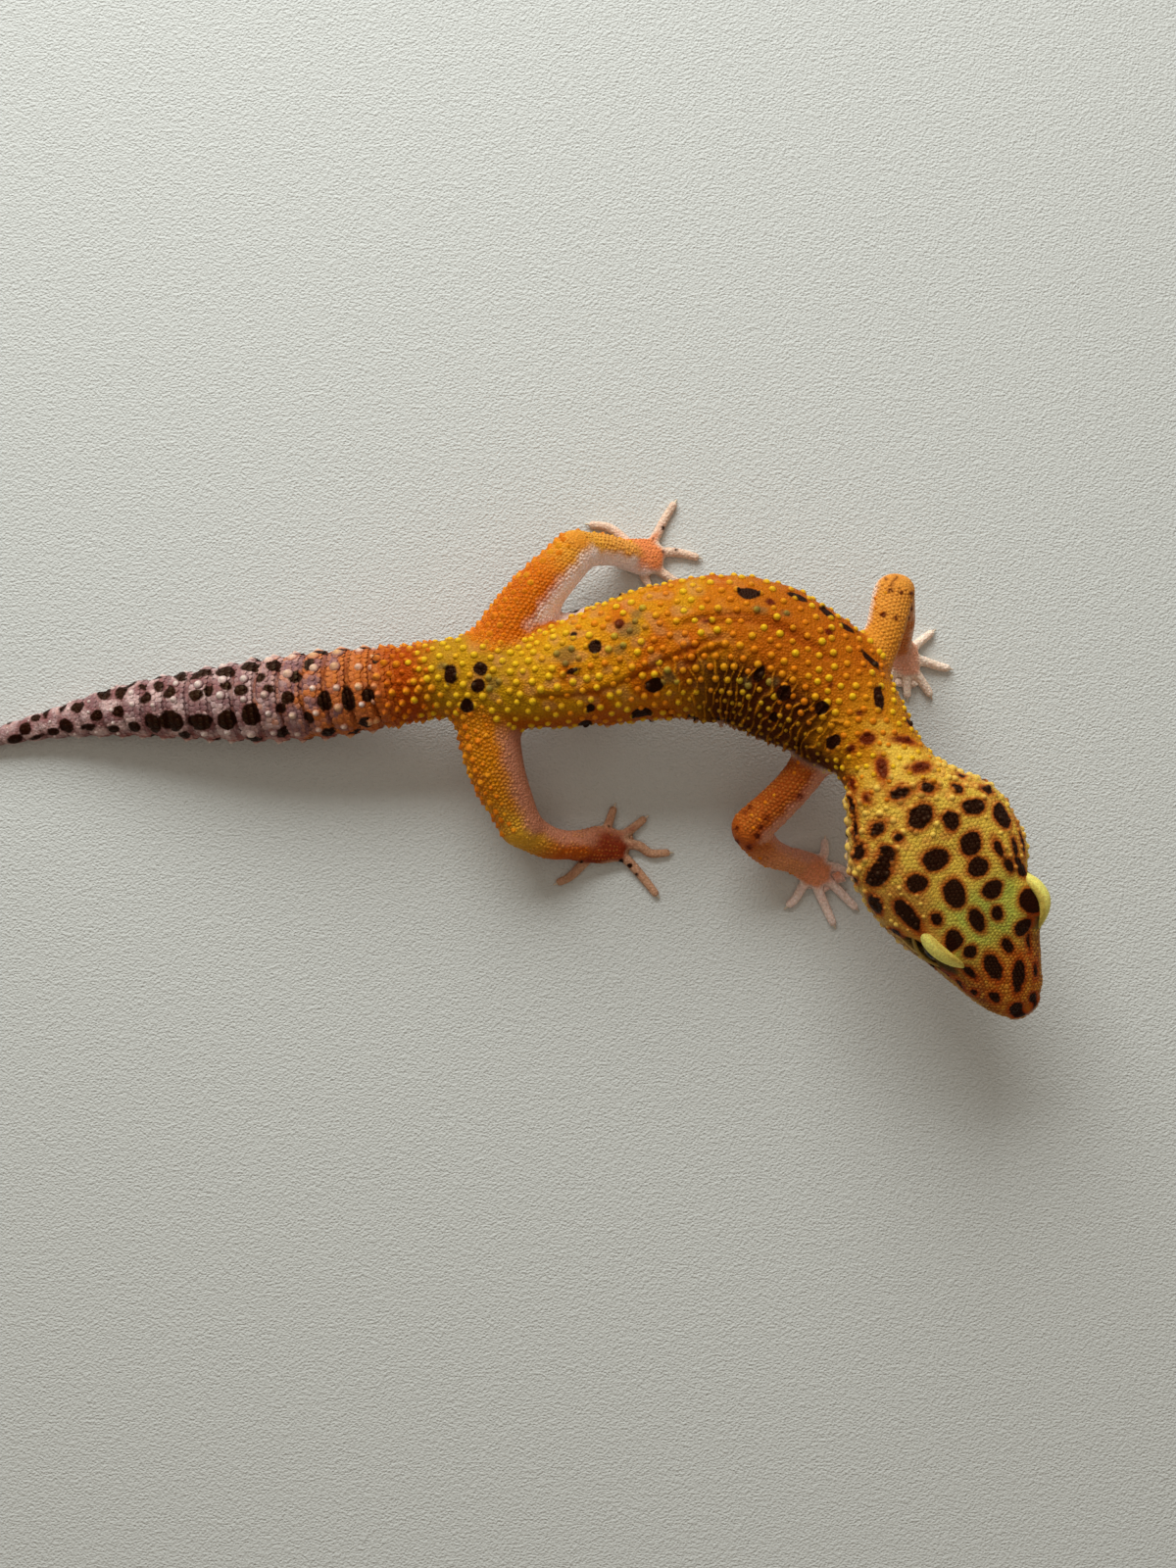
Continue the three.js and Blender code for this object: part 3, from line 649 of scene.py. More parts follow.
# Hollows and swellings of the head's top: height, then place and half width to the side, and
# place and half length behind the snout tip.
HEAD_TOP = [
    (-0.55, 0.0, 2.3, 12.5, 5.0), (-0.35, 0.0, 1.6, 27.0, 5.0), (0.30, 6.4, 2.2, 23.5, 4.5),
    (0.22, 2.4, 0.9, 5.5, 3.6), (-0.35, 4.6, 1.0, 8.6, 1.8),
]


def head_relief(at):
    """Lips, nostrils, ears, brow and temples, worked out in the head's own directions."""
    back, left, up = at.local.T
    side = np.abs(left)
    front = smoothstep(24.5, 22, back)
    on_head = smoothstep(34, 28, back)
    line = np.interp(back, *np.transpose(MOUTH))
    at.mouth = bell(up - line, 0.17) * front * on_head
    at.lips = bell(np.abs(up - line) - 0.6, 0.42) * front * on_head
    scale_edges = bell(((back / LIP_SCALE) % 1 - 0.5) * LIP_SCALE, 0.13)
    relief = -0.42 * at.mouth + at.lips * (0.12 - 0.10 * scale_edges)
    hole = np.linalg.norm((np.column_stack([back, side, up]) - NOSTRIL) / [0.42, 1.0, 0.34], axis=1)
    at.nostril = np.exp(-hole**2 * 1.2)
    relief += 0.14 * bell(hole - 1.7, 0.6) - 0.75 * at.nostril
    slit = np.hypot((back - EAR[0] + 0.25 * (up - EAR[2])) / 0.62, (up - EAR[2]) / 1.35)
    at.ear = np.exp(-slit**2.5) * (side > 5)
    relief += 0.22 * bell(slit - 1.55, 0.4) * (side > 5) - 1.5 * at.ear
    on_top = smoothstep(1.0, 3.0, up)
    for height, beside, wide, behind, long in HEAD_TOP:
        relief += height * np.exp(-((side - beside) / wide)**2 - ((back - behind) / long)**2) * on_top
    eye_ring = np.exp(-((back - EYE_BACK) / 4.8)**4 - ((up - 1.0) / 1.9)**2) * smoothstep(5, 7, side)
    relief -= 0.70 * eye_ring
    relief -= 0.30 * np.exp(-((back - 8.3) / 2.6)**2 - ((up - 0.9) / 1.3)**2) * smoothstep(3.5, 5.0, side)
    return relief


def place_all(points):
    """Everything that the relief and the markings need to know about points on the skin."""
    _, at = skin_distance(points)
    at.local = to_head(points)
    at.arc, at.turn = arc_from_spine(at)
    return at


def eye_opening(local):
    """Below 1 inside the almond between the lids: from corner to corner along the head, and from
    the lower rim to the upper lid's edge."""
    ahead, up = local[:, 0] - EYE_BACK, local[:, 2]
    middle = 2.4 + 0.06 * ahead
    return np.sqrt((ahead / 3.7)**2 + np.abs((up - middle) / 1.75)**1.7)


def beside_eye(local):
    """True on the sides of the head, which narrows forward: only there can the opening be."""
    return np.abs(local[:, 1]) > 6 - 0.36 * np.clip(13.6 - local[:, 0], 0, 3)


SOCKET_DEPTH = 3.6
at = place_all(points)
normal = normals_of(skin_mesh)
points = points + normal * relief_at(points, at)[:, None]
almond = eye_opening(at.local)
beside = beside_eye(at.local)
outwards = np.sign(at.local[:, 1])[:, None] * head_left
sunk = np.where(beside & (almond < 1), SOCKET_DEPTH * smoothstep(1.0, 0.72, almond), 0)
points -= sunk[:, None] * outwards
points[:, 2] = np.maximum(points[:, 2], 0)
set_points(skin_mesh, points)
skin = add_object("gecko_skin", skin_mesh)
shade_smooth(skin_mesh)


# ---- markings: dark spots as run, arc, half length, half width, and a turn in degrees ----
TAIL_SPOTS = [
    (18.5, 2.2, 0.4, 0.6), (18.9, -1.2, 1.0, 0.7), (21.1, 0, 0.85, 0.8), (22.4, -1.7, 0.9, 0.3),
    (22.8, 1.5, 0.6, 0.6), (24.6, 2.4, 0.5, 1.2), (25.2, -1.3, 0.8, 0.5), (27.3, 2.2, 0.6, 0.8),
    (27.6, -0.9, 1.1, 1.0), (30, 1.6, 1.0, 0.8), (31.2, -1.8, 1.1, 0.5), (33, -0.3, 0.9, 0.7),
    (34, 3.5, 0.9, 1.8, 30), (34.9, -2.7, 0.9, 0.6), (36.5, -0.2, 0.8, 0.8), (36.9, 3.0, 0.9, 1.1),
    (37.8, 4.3, 0.9, 0.9), (38.5, -2.8, 0.8, 0.8), (40, 3.5, 0.5, 0.4), (40.8, 1.3, 0.9, 0.8),
    (41.5, -2.5, 1.2, 1.5), (42, 5.1, 0.5, 0.4), (42.7, 3.1, 0.6, 0.8), (44.5, 2, 1.0, 0.85),
    (44.5, -2.4, 1.7, 1.6), (45.5, 5.2, 0.8, 1.6, 30), (45.8, -5, 0.8, 0.8), (48.8, 4.8, 1.6, 0.9, 20),
    (48.7, 1.1, 0.9, 0.75), (48.7, -2.8, 1.7, 1.2), (50.6, 1.8, 0.7, 0.8), (52.7, 4.8, 1.3, 1.1),
    (53.1, 2.3, 0.65, 0.55), (52.9, -2.8, 1.2, 1.4), (55.5, 1.4, 0.9, 0.7), (56.5, 5.4, 1.4, 1.0),
    (56.6, -2.3, 1.2, 1.6), (58.3, 2.9, 0.7, 0.6), (59.5, 1.2, 0.7, 0.6), (60.1, 5.2, 1.1, 1.1),
    (61, -1.7, 0.7, 0.7), (62.3, -0.3, 0.8, 0.8), (63.4, 2.7, 0.9, 0.8), (64.7, -3.5, 0.7, 0.8),
    (65.4, 4.5, 0.6, 1.1), (67.5, -1.3, 1.0, 1.35), (70, 7.5, 0.5, 0.5), (70.9, -1.5, 0.85, 1.75),
    (73.8, -1.3, 0.9, 0.9), (75.4, 4.1, 0.5, 0.8),
]
BODY_SPOTS = [
    (86.2, 0.1, 0.9, 1.4), (90.1, 1.1, 0.95, 0.95), (90.2, -1.3, 0.95, 1.0), (88.8, -4.5, 1.1, 1.2),
    (103.1, 0, 1.0, 0.4), (104.4, 5.3, 0.5, 0.5), (107, 2.5, 0.95, 1.0), (104.2, -5.9, 0.7, 0.75),
    (113.8, -4.9, 1.6, 1.1), (110.8, -9.3, 1.6, 1.2), (102.8, -9.7, 1.2, 1.6), (126.5, 8, 1.05, 1.1),
    (131.0, 10.4, 1.2, 0.7), (134.6, 10.5, 1.1, 0.8), (137.6, 10.2, 0.9, 0.7),
    (142.0, 8.2, 1.6, 0.6), (130.8, -3, 0.8, 1.3), (135.8, -3.7, 1.2, 1.2), (142.4, -2.4, 1.0, 1.1),
    (136.5, -7.4, 0.9, 0.8), (147.5, -4.6, 1.2, 1.3), (146.6, 4.5, 2.0, 0.7, -42), (150.8, 6.9, 0.7, 0.6),
]
HEAD_SPOTS = [
    (159.2, 2.8, 0.95, 0.55, 80), (160.9, 6.1, 0.7, 0.65), (164.1, 6.2, 1.7, 0.95, 58),
    (163.6, 9.7, 1.15, 0.6, 34), (167.4, 9.3, 1.5, 1.3), (160.0, 8.7, 0.7, 0.3, 60),
    (163.7, 2.4, 1.2, 1.05), (167.6, 3.15, 1.45, 1.5), (170.6, 2.65, 1.25, 1.4),
    (170.0, 6.3, 1.1, 0.55), (172.7, 6.6, 1.15, 0.6), (171.1, 8.7, 1.1, 0.5, -20),
    (185.2, -6.9, 1.1, 0.35), (182.9, -7.8, 0.7, 0.3), (172.9, 8.2, 1.1, 0.45),
    (174.8, 8.25, 1.3, 0.75, 5), (171.4, 10.5, 1.5, 0.3, -25), (174.5, 3.05, 1.35, 1.45),
    (179.0, 6.65, 1.6, 1.35), (181.5, 4.4, 1.05, 1.2), (177.9, 2.2, 1.0, 0.75),
    (182.8, 1.6, 1.15, 0.7), (184.1, 4.6, 1.4, 0.3, -15), (187.6, 1.1, 2.5, 0.85, -27),
    (188.4, 3.75, 1.1, 0.45, -20), (192.2, 1.8, 0.9, 0.6), (184.5, -1.45, 2.1, 1.1),
    (177.2, -0.7, 1.85, 0.95, 5), (172.2, -1.75, 2.05, 1.45, -5), (166.6, -2.0, 1.9, 1.4, 65),
    (161.4, -0.5, 1.95, 1.15, -72), (158.5, -0.75, 1.15, 0.5, 85), (162.0, -4.5, 0.5, 0.5),
    (160.3, -6.05, 1.15, 0.5, -80), (167.9, -5.7, 1.75, 1.25, 25), (162.9, -6.9, 1.05, 0.85),
    (163.6, -8.1, 0.9, 0.7), (164.4, -9.8, 2.1, 1.0, -80), (174.1, -5.4, 0.85, 0.75),
    (177.8, -4.7, 1.5, 1.2), (180.7, -3.4, 1.0, 0.95), (183.8, -4.65, 1.3, 0.5, 15),
    (171.8, -8.7, 2.8, 1.1, 10), (168.4, -12.6, 2.4, 1.3), (161.5, -10.25, 1.3, 0.6, -70),
    (159.2, -8.7, 1.4, 0.35, -47), (157.3, -7.6, 0.7, 0.5), (188.5, -3.0, 0.95, 0.65, 20),
    (192.1, -1.0, 1.2, 1.0), (186.9, -5.4, 0.4, 0.4), (174.1, -12.0, 1.0, 0.6, 80),
    (164.0, -13.9, 0.6, 0.3, 80),
]
# Small rusty marks of the neck and back, and greyish ghosts of spots that have faded.
REDDISH_SPOTS = [
    (136.3, 7.1, 0.6, 0.5), (128.7, 7.4, 0.5, 0.5), (146.7, 0.8, 0.6, 0.4),
    (152.9, 3.35, 1.35, 0.55, 62), (155.3, -1.35, 1.5, 0.65, -20), (150.5, -0.7, 0.85, 1.05),
    (157.1, 3.4, 1.3, 0.55, 85), (154.9, -6.3, 1.2, 0.55), (150.3, -3.2, 0.5, 0.6),
    (157.6, -5.0, 0.5, 0.35, 80), (111, 4.9, 0.7, 0.7), (141, 0.8, 0.35, 0.4), (122, 3.2, 0.5, 0.35),
]
FADED_PATCHES = [
    (102.9, 2.4, 1.5, 1.5), (112, 3.5, 1.7, 1.3), (110, 1.2, 1.0, 0.8), (92.3, -0.6, 1.0, 1.0),
    (116.2, -4.2, 1.3, 1.0), (113.4, 5.6, 0.9, 0.8), (85.0, 1.4, 0.7, 0.7), (128.0, 5.6, 0.8, 0.7),
    (130.6, 6.3, 0.6, 0.6), (129.4, -4.6, 0.9, 0.8), (133.5, -3.0, 0.8, 0.8),
]
# Round dots on the upper sides of the limbs as x, y, z and radius: dark ones, then rusty ones.
LIMB_DOTS = [
    (26.8, -15.4, 1.4, 0.24), (28.1, -15.8, 1.3, 0.26), (29.2, -16.6, 1.1, 0.24), (25.2, -16.8, 1.4, 0.40),
    (26.5, -17.5, 1.3, 0.34), (27.5, -18.8, 1.2, 0.26), (19.3, -16.9, 2.2, 0.30), (23.4, -11.7, 1.0, 0.16),
    (31.4, 32.6, 1.2, 0.28), (29.9, 30.9, 1.4, 0.20), (31.4, 28.9, 1.4, 0.28), (33.4, 29.3, 1.2, 0.24),
    (13.5, -12.6, 5.5, 0.22), (8.2, -3.9, 10.5, 0.25), (7.9, -1.3, 11.0, 0.22), (3.4, 5.6, 14.0, 1.0),
]
BROWN_DOTS = [
    (50.1, -7.1, 13.0, 0.38), (43.3, -8.7, 12.0, 0.30), (42.5, -9.4, 12.0, 0.32), (45.5, -10.1, 11.4, 0.38),
    (41.4, -11.7, 11.2, 0.42), (44.8, -11.6, 11.4, 0.34), (44.3, -12.8, 11.2, 0.42), (41.6, -13.6, 9.6, 0.40),
    (43.4, -14.4, 9.6, 0.42), (62.4, 23.6, 13.6, 0.34), (63.6, 23.7, 13.4, 0.30), (63.1, 22.7, 14.0, 0.36),
    (62.7, 21.7, 14.2, 0.34), (64.2, 21.4, 14.0, 0.34), (61.6, 18.2, 15.2, 0.42), (63.4, 17.8, 14.8, 0.34),
    (65.8, 21.4, 12.0, 0.42), (66.2, 19.5, 10.5, 0.40), (65.9, 18.3, 9.5, 0.36),
]
SPOT_SPACING = 3.0
# The sides that turn away, as seed, count, ranges of run and of arc, and range of half sizes.
SPOTTED_SIDES = [
    (31, 14, (20, 74), (5.6, 8.6), (0.5, 1.0)), (32, 16, (20, 74), (-8.6, -5.2), (0.5, 1.0)),
    (33, 13, (88, 146), (12.2, 16.0), (0.6, 1.1)), (34, 10, (88, 128), (-15.0, -11.5), (0.6, 1.1)),
    (35, 7, (150, 168), (9.5, 14.0), (0.5, 1.1)), (36, 7, (150, 168), (-15.0, -12.0), (0.5, 1.1)),
    (37, 8, (172, 192), (8.5, 11.5), (0.3, 0.7)), (38, 7, (172, 192), (-11.5, -9.5), (0.3, 0.7)),
]


def scattered_spots(seed, count, run_range, arc_range, sizes):
    """Spots of the same kind on the sides that turn away, none of them closer than the spacing to
    another of them or to a spot in the lists."""
    dice = np.random.default_rng(seed)
    placed = [spot[:2] for spot in LISTED_SPOTS]
    fresh = []
    for _ in range(count * 12):
        spot = (dice.uniform(*run_range), dice.uniform(*arc_range))
        nearest = min(np.hypot(*(np.subtract(spot, other))) for other in placed)
        if len(fresh) < count and nearest > SPOT_SPACING:
            placed.append(spot)
            fresh.append((*spot, *dice.uniform(*sizes, 2), dice.uniform(-40, 40)))
    return fresh


LISTED_SPOTS = TAIL_SPOTS + BODY_SPOTS + HEAD_SPOTS
DARK_SPOTS = LISTED_SPOTS + [spot for side in SPOTTED_SIDES for spot in scattered_spots(*side)]


def gap_to_spots(at, spots):
    """Distance in the hide from the edge of the nearest spot, negative inside."""
    table = np.array([[*spot, 0.0][:5] for spot in spots]).T[..., None]
    run, arc, long, wide, turn = table
    turn = np.radians(turn)
    x, y = at.run - run, at.arc - arc
    forward, across = x * np.cos(turn) + y * np.sin(turn), y * np.cos(turn) - x * np.sin(turn)
    reach = np.hypot(forward / long, across / wide)
    return ((reach - 1) * np.minimum(long, wide)).min(0)


def gap_to_dots(points, dots):
    """Distance from the edge of the nearest round dot on the upper sides of the limbs."""
    x, y, z, radius = np.array(dots).T
    offset = (points[:, None] - np.column_stack([x, y, z])) * [1, 1, 0.12]
    return (np.linalg.norm(offset, axis=2) - radius).min(1)


def srgb(red, green, blue):
    """Linear light of a colour given as 0 to 255."""
    value = np.array([red, green, blue]) / 255
    return np.where(value < 0.04045, value / 12.92, ((value + 0.055) / 1.055)**2.4)


def mix(base, colour, amount):
    """From one colour towards another, by an amount for each point."""
    return base + (np.asarray(colour) - base) * np.reshape(np.clip(amount, 0, 1), (-1, 1))


LILAC, LILAC_PALE, TAIL_ROSE = srgb(140, 100, 102), srgb(214, 182, 178), srgb(176, 88, 74)
TAIL_ORANGE, RUMP_ORANGE = srgb(196, 100, 22), srgb(164, 64, 2)
YELLOW_GREEN, BODY_YELLOW, BODY_ORANGE = srgb(176, 126, 14), srgb(206, 134, 10), srgb(190, 106, 4)
PATCH_TAN, PATCH_ORANGE, PATCH_LEMON = srgb(194, 132, 70), srgb(184, 78, 2), srgb(198, 144, 12)
SHOULDER_ORANGE, SHADED_FLANK_BROWN = srgb(170, 86, 6), srgb(60, 15, 4)
FLANK_RED, HIP_ORANGE = srgb(172, 80, 12), srgb(180, 82, 6)
NECK_GOLD, HEAD_YELLOW, HEAD_PEACH = srgb(186, 118, 12), srgb(222, 180, 66), srgb(212, 132, 58)
HEAD_GREEN, SNOUT, SNOUT_SIDE = srgb(184, 188, 74), srgb(178, 100, 26), srgb(132, 68, 34)
BELLY_PINK, CHEEK_PALE, LIP_PALE = srgb(230, 196, 180), srgb(214, 178, 104), srgb(196, 150, 90)
CHEEK_BROWN = srgb(176, 100, 46)
GROOVE_SHADE_GREY, GROOVE_SHADE_BROWN, SOCKET_SHADE_BLACK = srgb(104, 66, 64), srgb(104, 40, 6), srgb(26, 16, 12)
# Colours by limb, in the order of the table of limbs: thigh or upper arm, shin or forearm, the
# soft inner side, the palm, the toes, and the knee or elbow.
LIMB_COLOURS = np.array([[srgb(*colour) for colour in limb] for limb in [
    [(204, 122, 8), (190, 86, 16), (194, 126, 96), (134, 44, 24), (206, 158, 126), (226, 172, 52)],
    # Painted light: the hind left's pink inner side, which faces away from the light, is lifted almost to
    # white.
    [(206, 100, 4), (228, 156, 70), (255, 236, 228), (238, 138, 84), (236, 204, 180), (226, 160, 52)],
    # Painted light: the front right forearm is lightened where it lies in shade.
    [(168, 76, 22), (228, 150, 104), (226, 158, 132), (240, 152, 110), (250, 224, 212), (190, 96, 30)],
    [(222, 142, 44), (214, 124, 66), (255, 226, 206), (242, 178, 150), (252, 228, 208), (226, 150, 60)],
]])
KNEES = np.array([limb["upper"][-1][:3] for limb in LIMBS.values()])
# Where the soft inner side of each limb faces: for thigh or upper arm, and shin or forearm.
INNER_SIDES = np.array([
    [[0.97, 0.10, -0.10], [0.30, 0.90, 0.06]], [[0.78, -0.60, -0.10], [0.10, -0.95, -0.02]],
    [[0.75, -0.55, -0.20], [0.50, 0.82, -0.05]], [[-0.50, 0.10, -0.85], [0.50, -0.30, -0.75]],
])


def ground_colour(points, normal, at):
    """Colour of the hide between the spots: zones along the body that run into each other, paler
    towards the belly, and the limbs. The flank's own brown in the inner bend is darkened with painted shade."""
    run, turn, arc = at.run, at.turn, at.arc
    ramp = lambda low, high: smoothstep(low, high, run)
    patchy = 0.5 + 0.5 * ripple(points, 3.0, 21)
    cloudy = 0.5 + 0.5 * ripple(points, 6.5, 25)
    back = ramp(84, 90) * ramp(148, 140)
    # Painted shade: the inner bend of the right flank, turned away from the light, is darkened to near black
    # over its own brown.
    shade = ramp(112, 125) * smoothstep(0.0, -3.8, arc) * ramp(157, 148)
    middle = smoothstep(3.5, 0.5, np.abs(arc - 1.5))
    behind_eye = smoothstep(-3.5, -6.5, arc) * ramp(164, 169) * ramp(180, 176)
    snout = mix(SNOUT, SNOUT_SIDE, smoothstep(2.5, 5.0, np.abs(arc)))
    green = ramp(171, 175) * ramp(184, 180) * smoothstep(7.5, 4.5, np.abs(arc - 0.5))
    under = smoothstep(1.50, 1.95, np.abs(turn) + 0.15 * (turn < 0) * ramp(108, 114) * ramp(134, 126))
    colour = LILAC
    for layer, amount in [
        (LILAC_PALE, smoothstep(0.25, 0.95, patchy)),
        (TAIL_ROSE, 0.6 * smoothstep(-0.9, -1.5, turn) * ramp(26, 40)),
        (TAIL_ORANGE, 0.9 * smoothstep(0.45, 0.80, 0.7 * patchy + 0.1 + (run - 62) / 22)),
        # Painted shade: the grooves between the tail's rings are darkened, grey on the lilac part and brown
        # on the orange part.
        (GROOVE_SHADE_GREY, 0.6 * at.groove * ramp(66, 50)),
        (GROOVE_SHADE_BROWN, 0.85 * at.groove * ramp(48, 60)),
        (RUMP_ORANGE, ramp(73, 78)),
        (YELLOW_GREEN, ramp(80, 85)),
        (BODY_YELLOW, smoothstep(94, 106, run + 4 * patchy)),
        (BODY_ORANGE, smoothstep(106, 122, run + 12 * patchy - 6) * smoothstep(-5, 2, arc)),
        (PATCH_LEMON, 0.7 * back * smoothstep(0.5, 0.2, cloudy) * ramp(130, 116)),
        (PATCH_ORANGE, 0.7 * back * smoothstep(0.55, 0.85, cloudy) * ramp(92, 104)),
        (PATCH_TAN, 0.55 * back * smoothstep(0.55, 0.85, patchy) * ramp(132, 118)),
        (SHOULDER_ORANGE, 0.8 * ramp(122, 132)),
        (SHADED_FLANK_BROWN, 0.93 * shade),
        (HIP_ORANGE, 0.85 * ramp(80, 88) * smoothstep(-0.6, -1.15, turn) * ramp(122, 114)),
        (FLANK_RED, 0.4 * ramp(80, 90) * smoothstep(1.1, 1.5, turn)),
        (NECK_GOLD, smoothstep(142, 149, run + 2 * patchy) * smoothstep(-1.25, -0.7, turn)),
        (HEAD_YELLOW, smoothstep(153, 162, run + 3 * patchy + 5 * middle)),
        (HEAD_PEACH, 0.60 * ramp(155, 160) * smoothstep(0.45, 0.85, patchy) * ramp(176, 168)),
        (CHEEK_BROWN, 0.55 * behind_eye),
        (snout, ramp(179, 186)),
        (HEAD_GREEN, green * (0.65 + 0.35 * smoothstep(0.2, 0.6, patchy))),
        (CHEEK_PALE, 0.75 * ramp(150, 162) * smoothstep(1.15, 1.6, np.abs(turn))),
        (LIP_PALE, 0.5 * at.lips),
        (BELLY_PINK, under * ramp(70, 90)),
        (LILAC_PALE, under * ramp(80, 66)),
        (BELLY_PINK, smoothstep(0.7, 0.1, at.fold)),
        (leg_colour(points, normal, at), smoothstep(1.0, -0.6, at.limb - 0.4 * np.maximum(at.trunk, 0))),
    ]:
        colour = mix(colour, layer, amount)
    return colour


def leg_colour(points, normal, at):
    """Colour of the limbs, from orange outsides to pink insides, reddish palms and beige toes."""
    limb, height, waver = at.limb_index, points[:, 2], ripple(points, 3, 24)
    inner_upper, inner_lower = INNER_SIDES[limb].transpose(1, 0, 2)
    inward = unit(inner_upper + (inner_lower - inner_upper) * at.shin[:, None])
    inside = (normal * inward).sum(1) + 0.10 * ripple(points, 2.5, 22)
    narrow = 0.16 * (limb == 1) + 0.10 * (limb == 2)
    upper, lower, inner, palm, toes, knee = LIMB_COLOURS[limb].transpose(1, 0, 2)
    from_knee = np.linalg.norm(points - KNEES[limb], axis=1)
    rusty = smoothstep(0.1, 0.8, ripple(points, 5, 23))
    leg = mix(upper, lower, at.shin)
    leg = mix(leg, knee, 0.85 * np.exp(-(from_knee / 5.5)**4))
    leg = mix(leg, LIMB_COLOURS[0, 1], 0.35 * rusty * (limb < 2) * (1 - at.shin))
    leg = mix(leg, inner, smoothstep(-0.08, 0.50, inside - narrow))
    leg = mix(leg, palm, 0.9 * smoothstep(3.8, 2.6, height + 0.3 * waver) * smoothstep(0.75, 0.2, inside))
    return mix(leg, toes, smoothstep(1.9, 1.2, height + 0.25 * waver))


def give_colour(mesh, name, colour):
    layer = mesh.attributes.new(name, "FLOAT_COLOR", "POINT")
    layer.data.foreach_set("color", np.column_stack([colour, np.ones(len(colour))]).ravel())


def give_value(mesh, name, value):
    layer = mesh.attributes.new(name, "FLOAT", "POINT")
    layer.data.foreach_set("value", value.astype(np.float32))


def mark(mesh, points, at, colour, shrink=1.0):
    """Writes the markings on a mesh: ground colour, and distances to dark, rosy and faded spots,
    from which the material draws sharp edges, and how rusty the rim of a spot is. A shrink below 1
    makes the spots smaller there."""
    on_limb = smoothstep(0.8, -0.4, at.limb - 0.6 * np.maximum(at.trunk, 0))
    off_limbs = lambda gap: gap * (1 - on_limb) + 3 * on_limb
    spots = gap_to_spots(at, DARK_SPOTS) - 0.13 * smoothstep(80, 74, at.run)
    spots = np.minimum(off_limbs(spots + (1 - shrink)), gap_to_dots(points, LIMB_DOTS))
    rosy = np.minimum(off_limbs(gap_to_spots(at, REDDISH_SPOTS)), gap_to_dots(points, BROWN_DOTS))
    faded = off_limbs(gap_to_spots(at, FADED_PATCHES))
    give_colour(mesh, "ground", colour)
    for name, gap in (("spot_gap", spots), ("rosy_gap", rosy), ("faded_gap", faded)):
        give_value(mesh, name, np.clip(gap, -2, 3))
    give_value(mesh, "rusty_rim", 0.15 + 0.70 * smoothstep(144, 156, at.run))


# Painted shade in the back's fold creases, the nostrils, ear holes, mouth groove and eye sockets, and the
# colour of the puckers' ridges, go over the skin's ground.
points = points_of(skin_mesh)
colour = ground_colour(points, normals_of(skin_mesh), at)
# Painted shadow: the skin in the eye sockets and just under the front half of the upper lids is painted near
# black.
under_lid_shadow = smoothstep(1.55, 1.30, almond) * smoothstep(2.1, 2.7, at.local[:, 2])
under_lid_shadow = 0.9 * (under_lid_shadow * smoothstep(15.5, 14.0, at.local[:, 0]))
for layer, amount in [
    # Painted shade: darker orange along the creases of the back's folds.
    (srgb(156, 62, 6), 0.6 * np.clip(at.fold_line, 0, 1)),
    (srgb(206, 130, 18), 0.85 * np.clip(at.pucker, 0, 1)),
    # Painted shade: dark brown inside the nostrils and ear holes and along the mouth's groove.
    (srgb(60, 26, 18), at.nostril + at.ear + 0.55 * at.mouth),
    (SOCKET_SHADE_BLACK, beside * np.maximum(smoothstep(1.10, 0.90, almond), under_lid_shadow)),
]:
    colour = mix(colour, layer, amount)
mark(skin_mesh, points, at, colour)


# ---- the hide's finish: shared by skin, tubercles and lids ----
class Nodes:
    """Adds nodes to a tree and joins them: values go on sockets, and outputs are linked."""

    def __init__(self, tree):
        self.tree = tree

    def wire(self, node, inputs):
        for key, value in dict(inputs).items():
            if isinstance(value, bpy.types.NodeSocket):
                self.tree.links.new(value, node.inputs[key])
            else:
                node.inputs[key].default_value = value

    def add(self, kind, inputs=(), **settings):
        node = self.tree.nodes.new(kind)
        for name, value in settings.items():
            setattr(node, name, value)
        self.wire(node, inputs)
        return node.outputs

    def math(self, operation, a, b=0.0):
        return self.add("ShaderNodeMath", {0: a, 1: b}, operation=operation)[0]

    def vector(self, operation, inputs):
        return self.add("ShaderNodeVectorMath", inputs, operation=operation)

    def fade(self, value, low, high, to_low=0.0, to_high=1.0):
        inputs = {0: value, 1: low, 2: high, 3: to_low, 4: to_high}
        return self.add("ShaderNodeMapRange", inputs, interpolation_type="SMOOTHSTEP")[0]

    def blend(self, amount, a, b):
        return self.add("ShaderNodeMix", {0: amount, 6: a, 7: b}, data_type="RGBA")[2]

    def noise(self, place, scale, **more):
        return self.add("ShaderNodeTexNoise", {"Vector": place, "Scale": scale, **more})["Fac"]


def rgba(red, green, blue):
    return (*srgb(red, green, blue), 1.0)


def started_material(name):
    """A new material, the builder of its nodes, and its main shader."""
    material = bpy.data.materials.new(name)
    material.use_nodes = True
    return material, Nodes(material.node_tree), material.node_tree.nodes["Principled BSDF"]


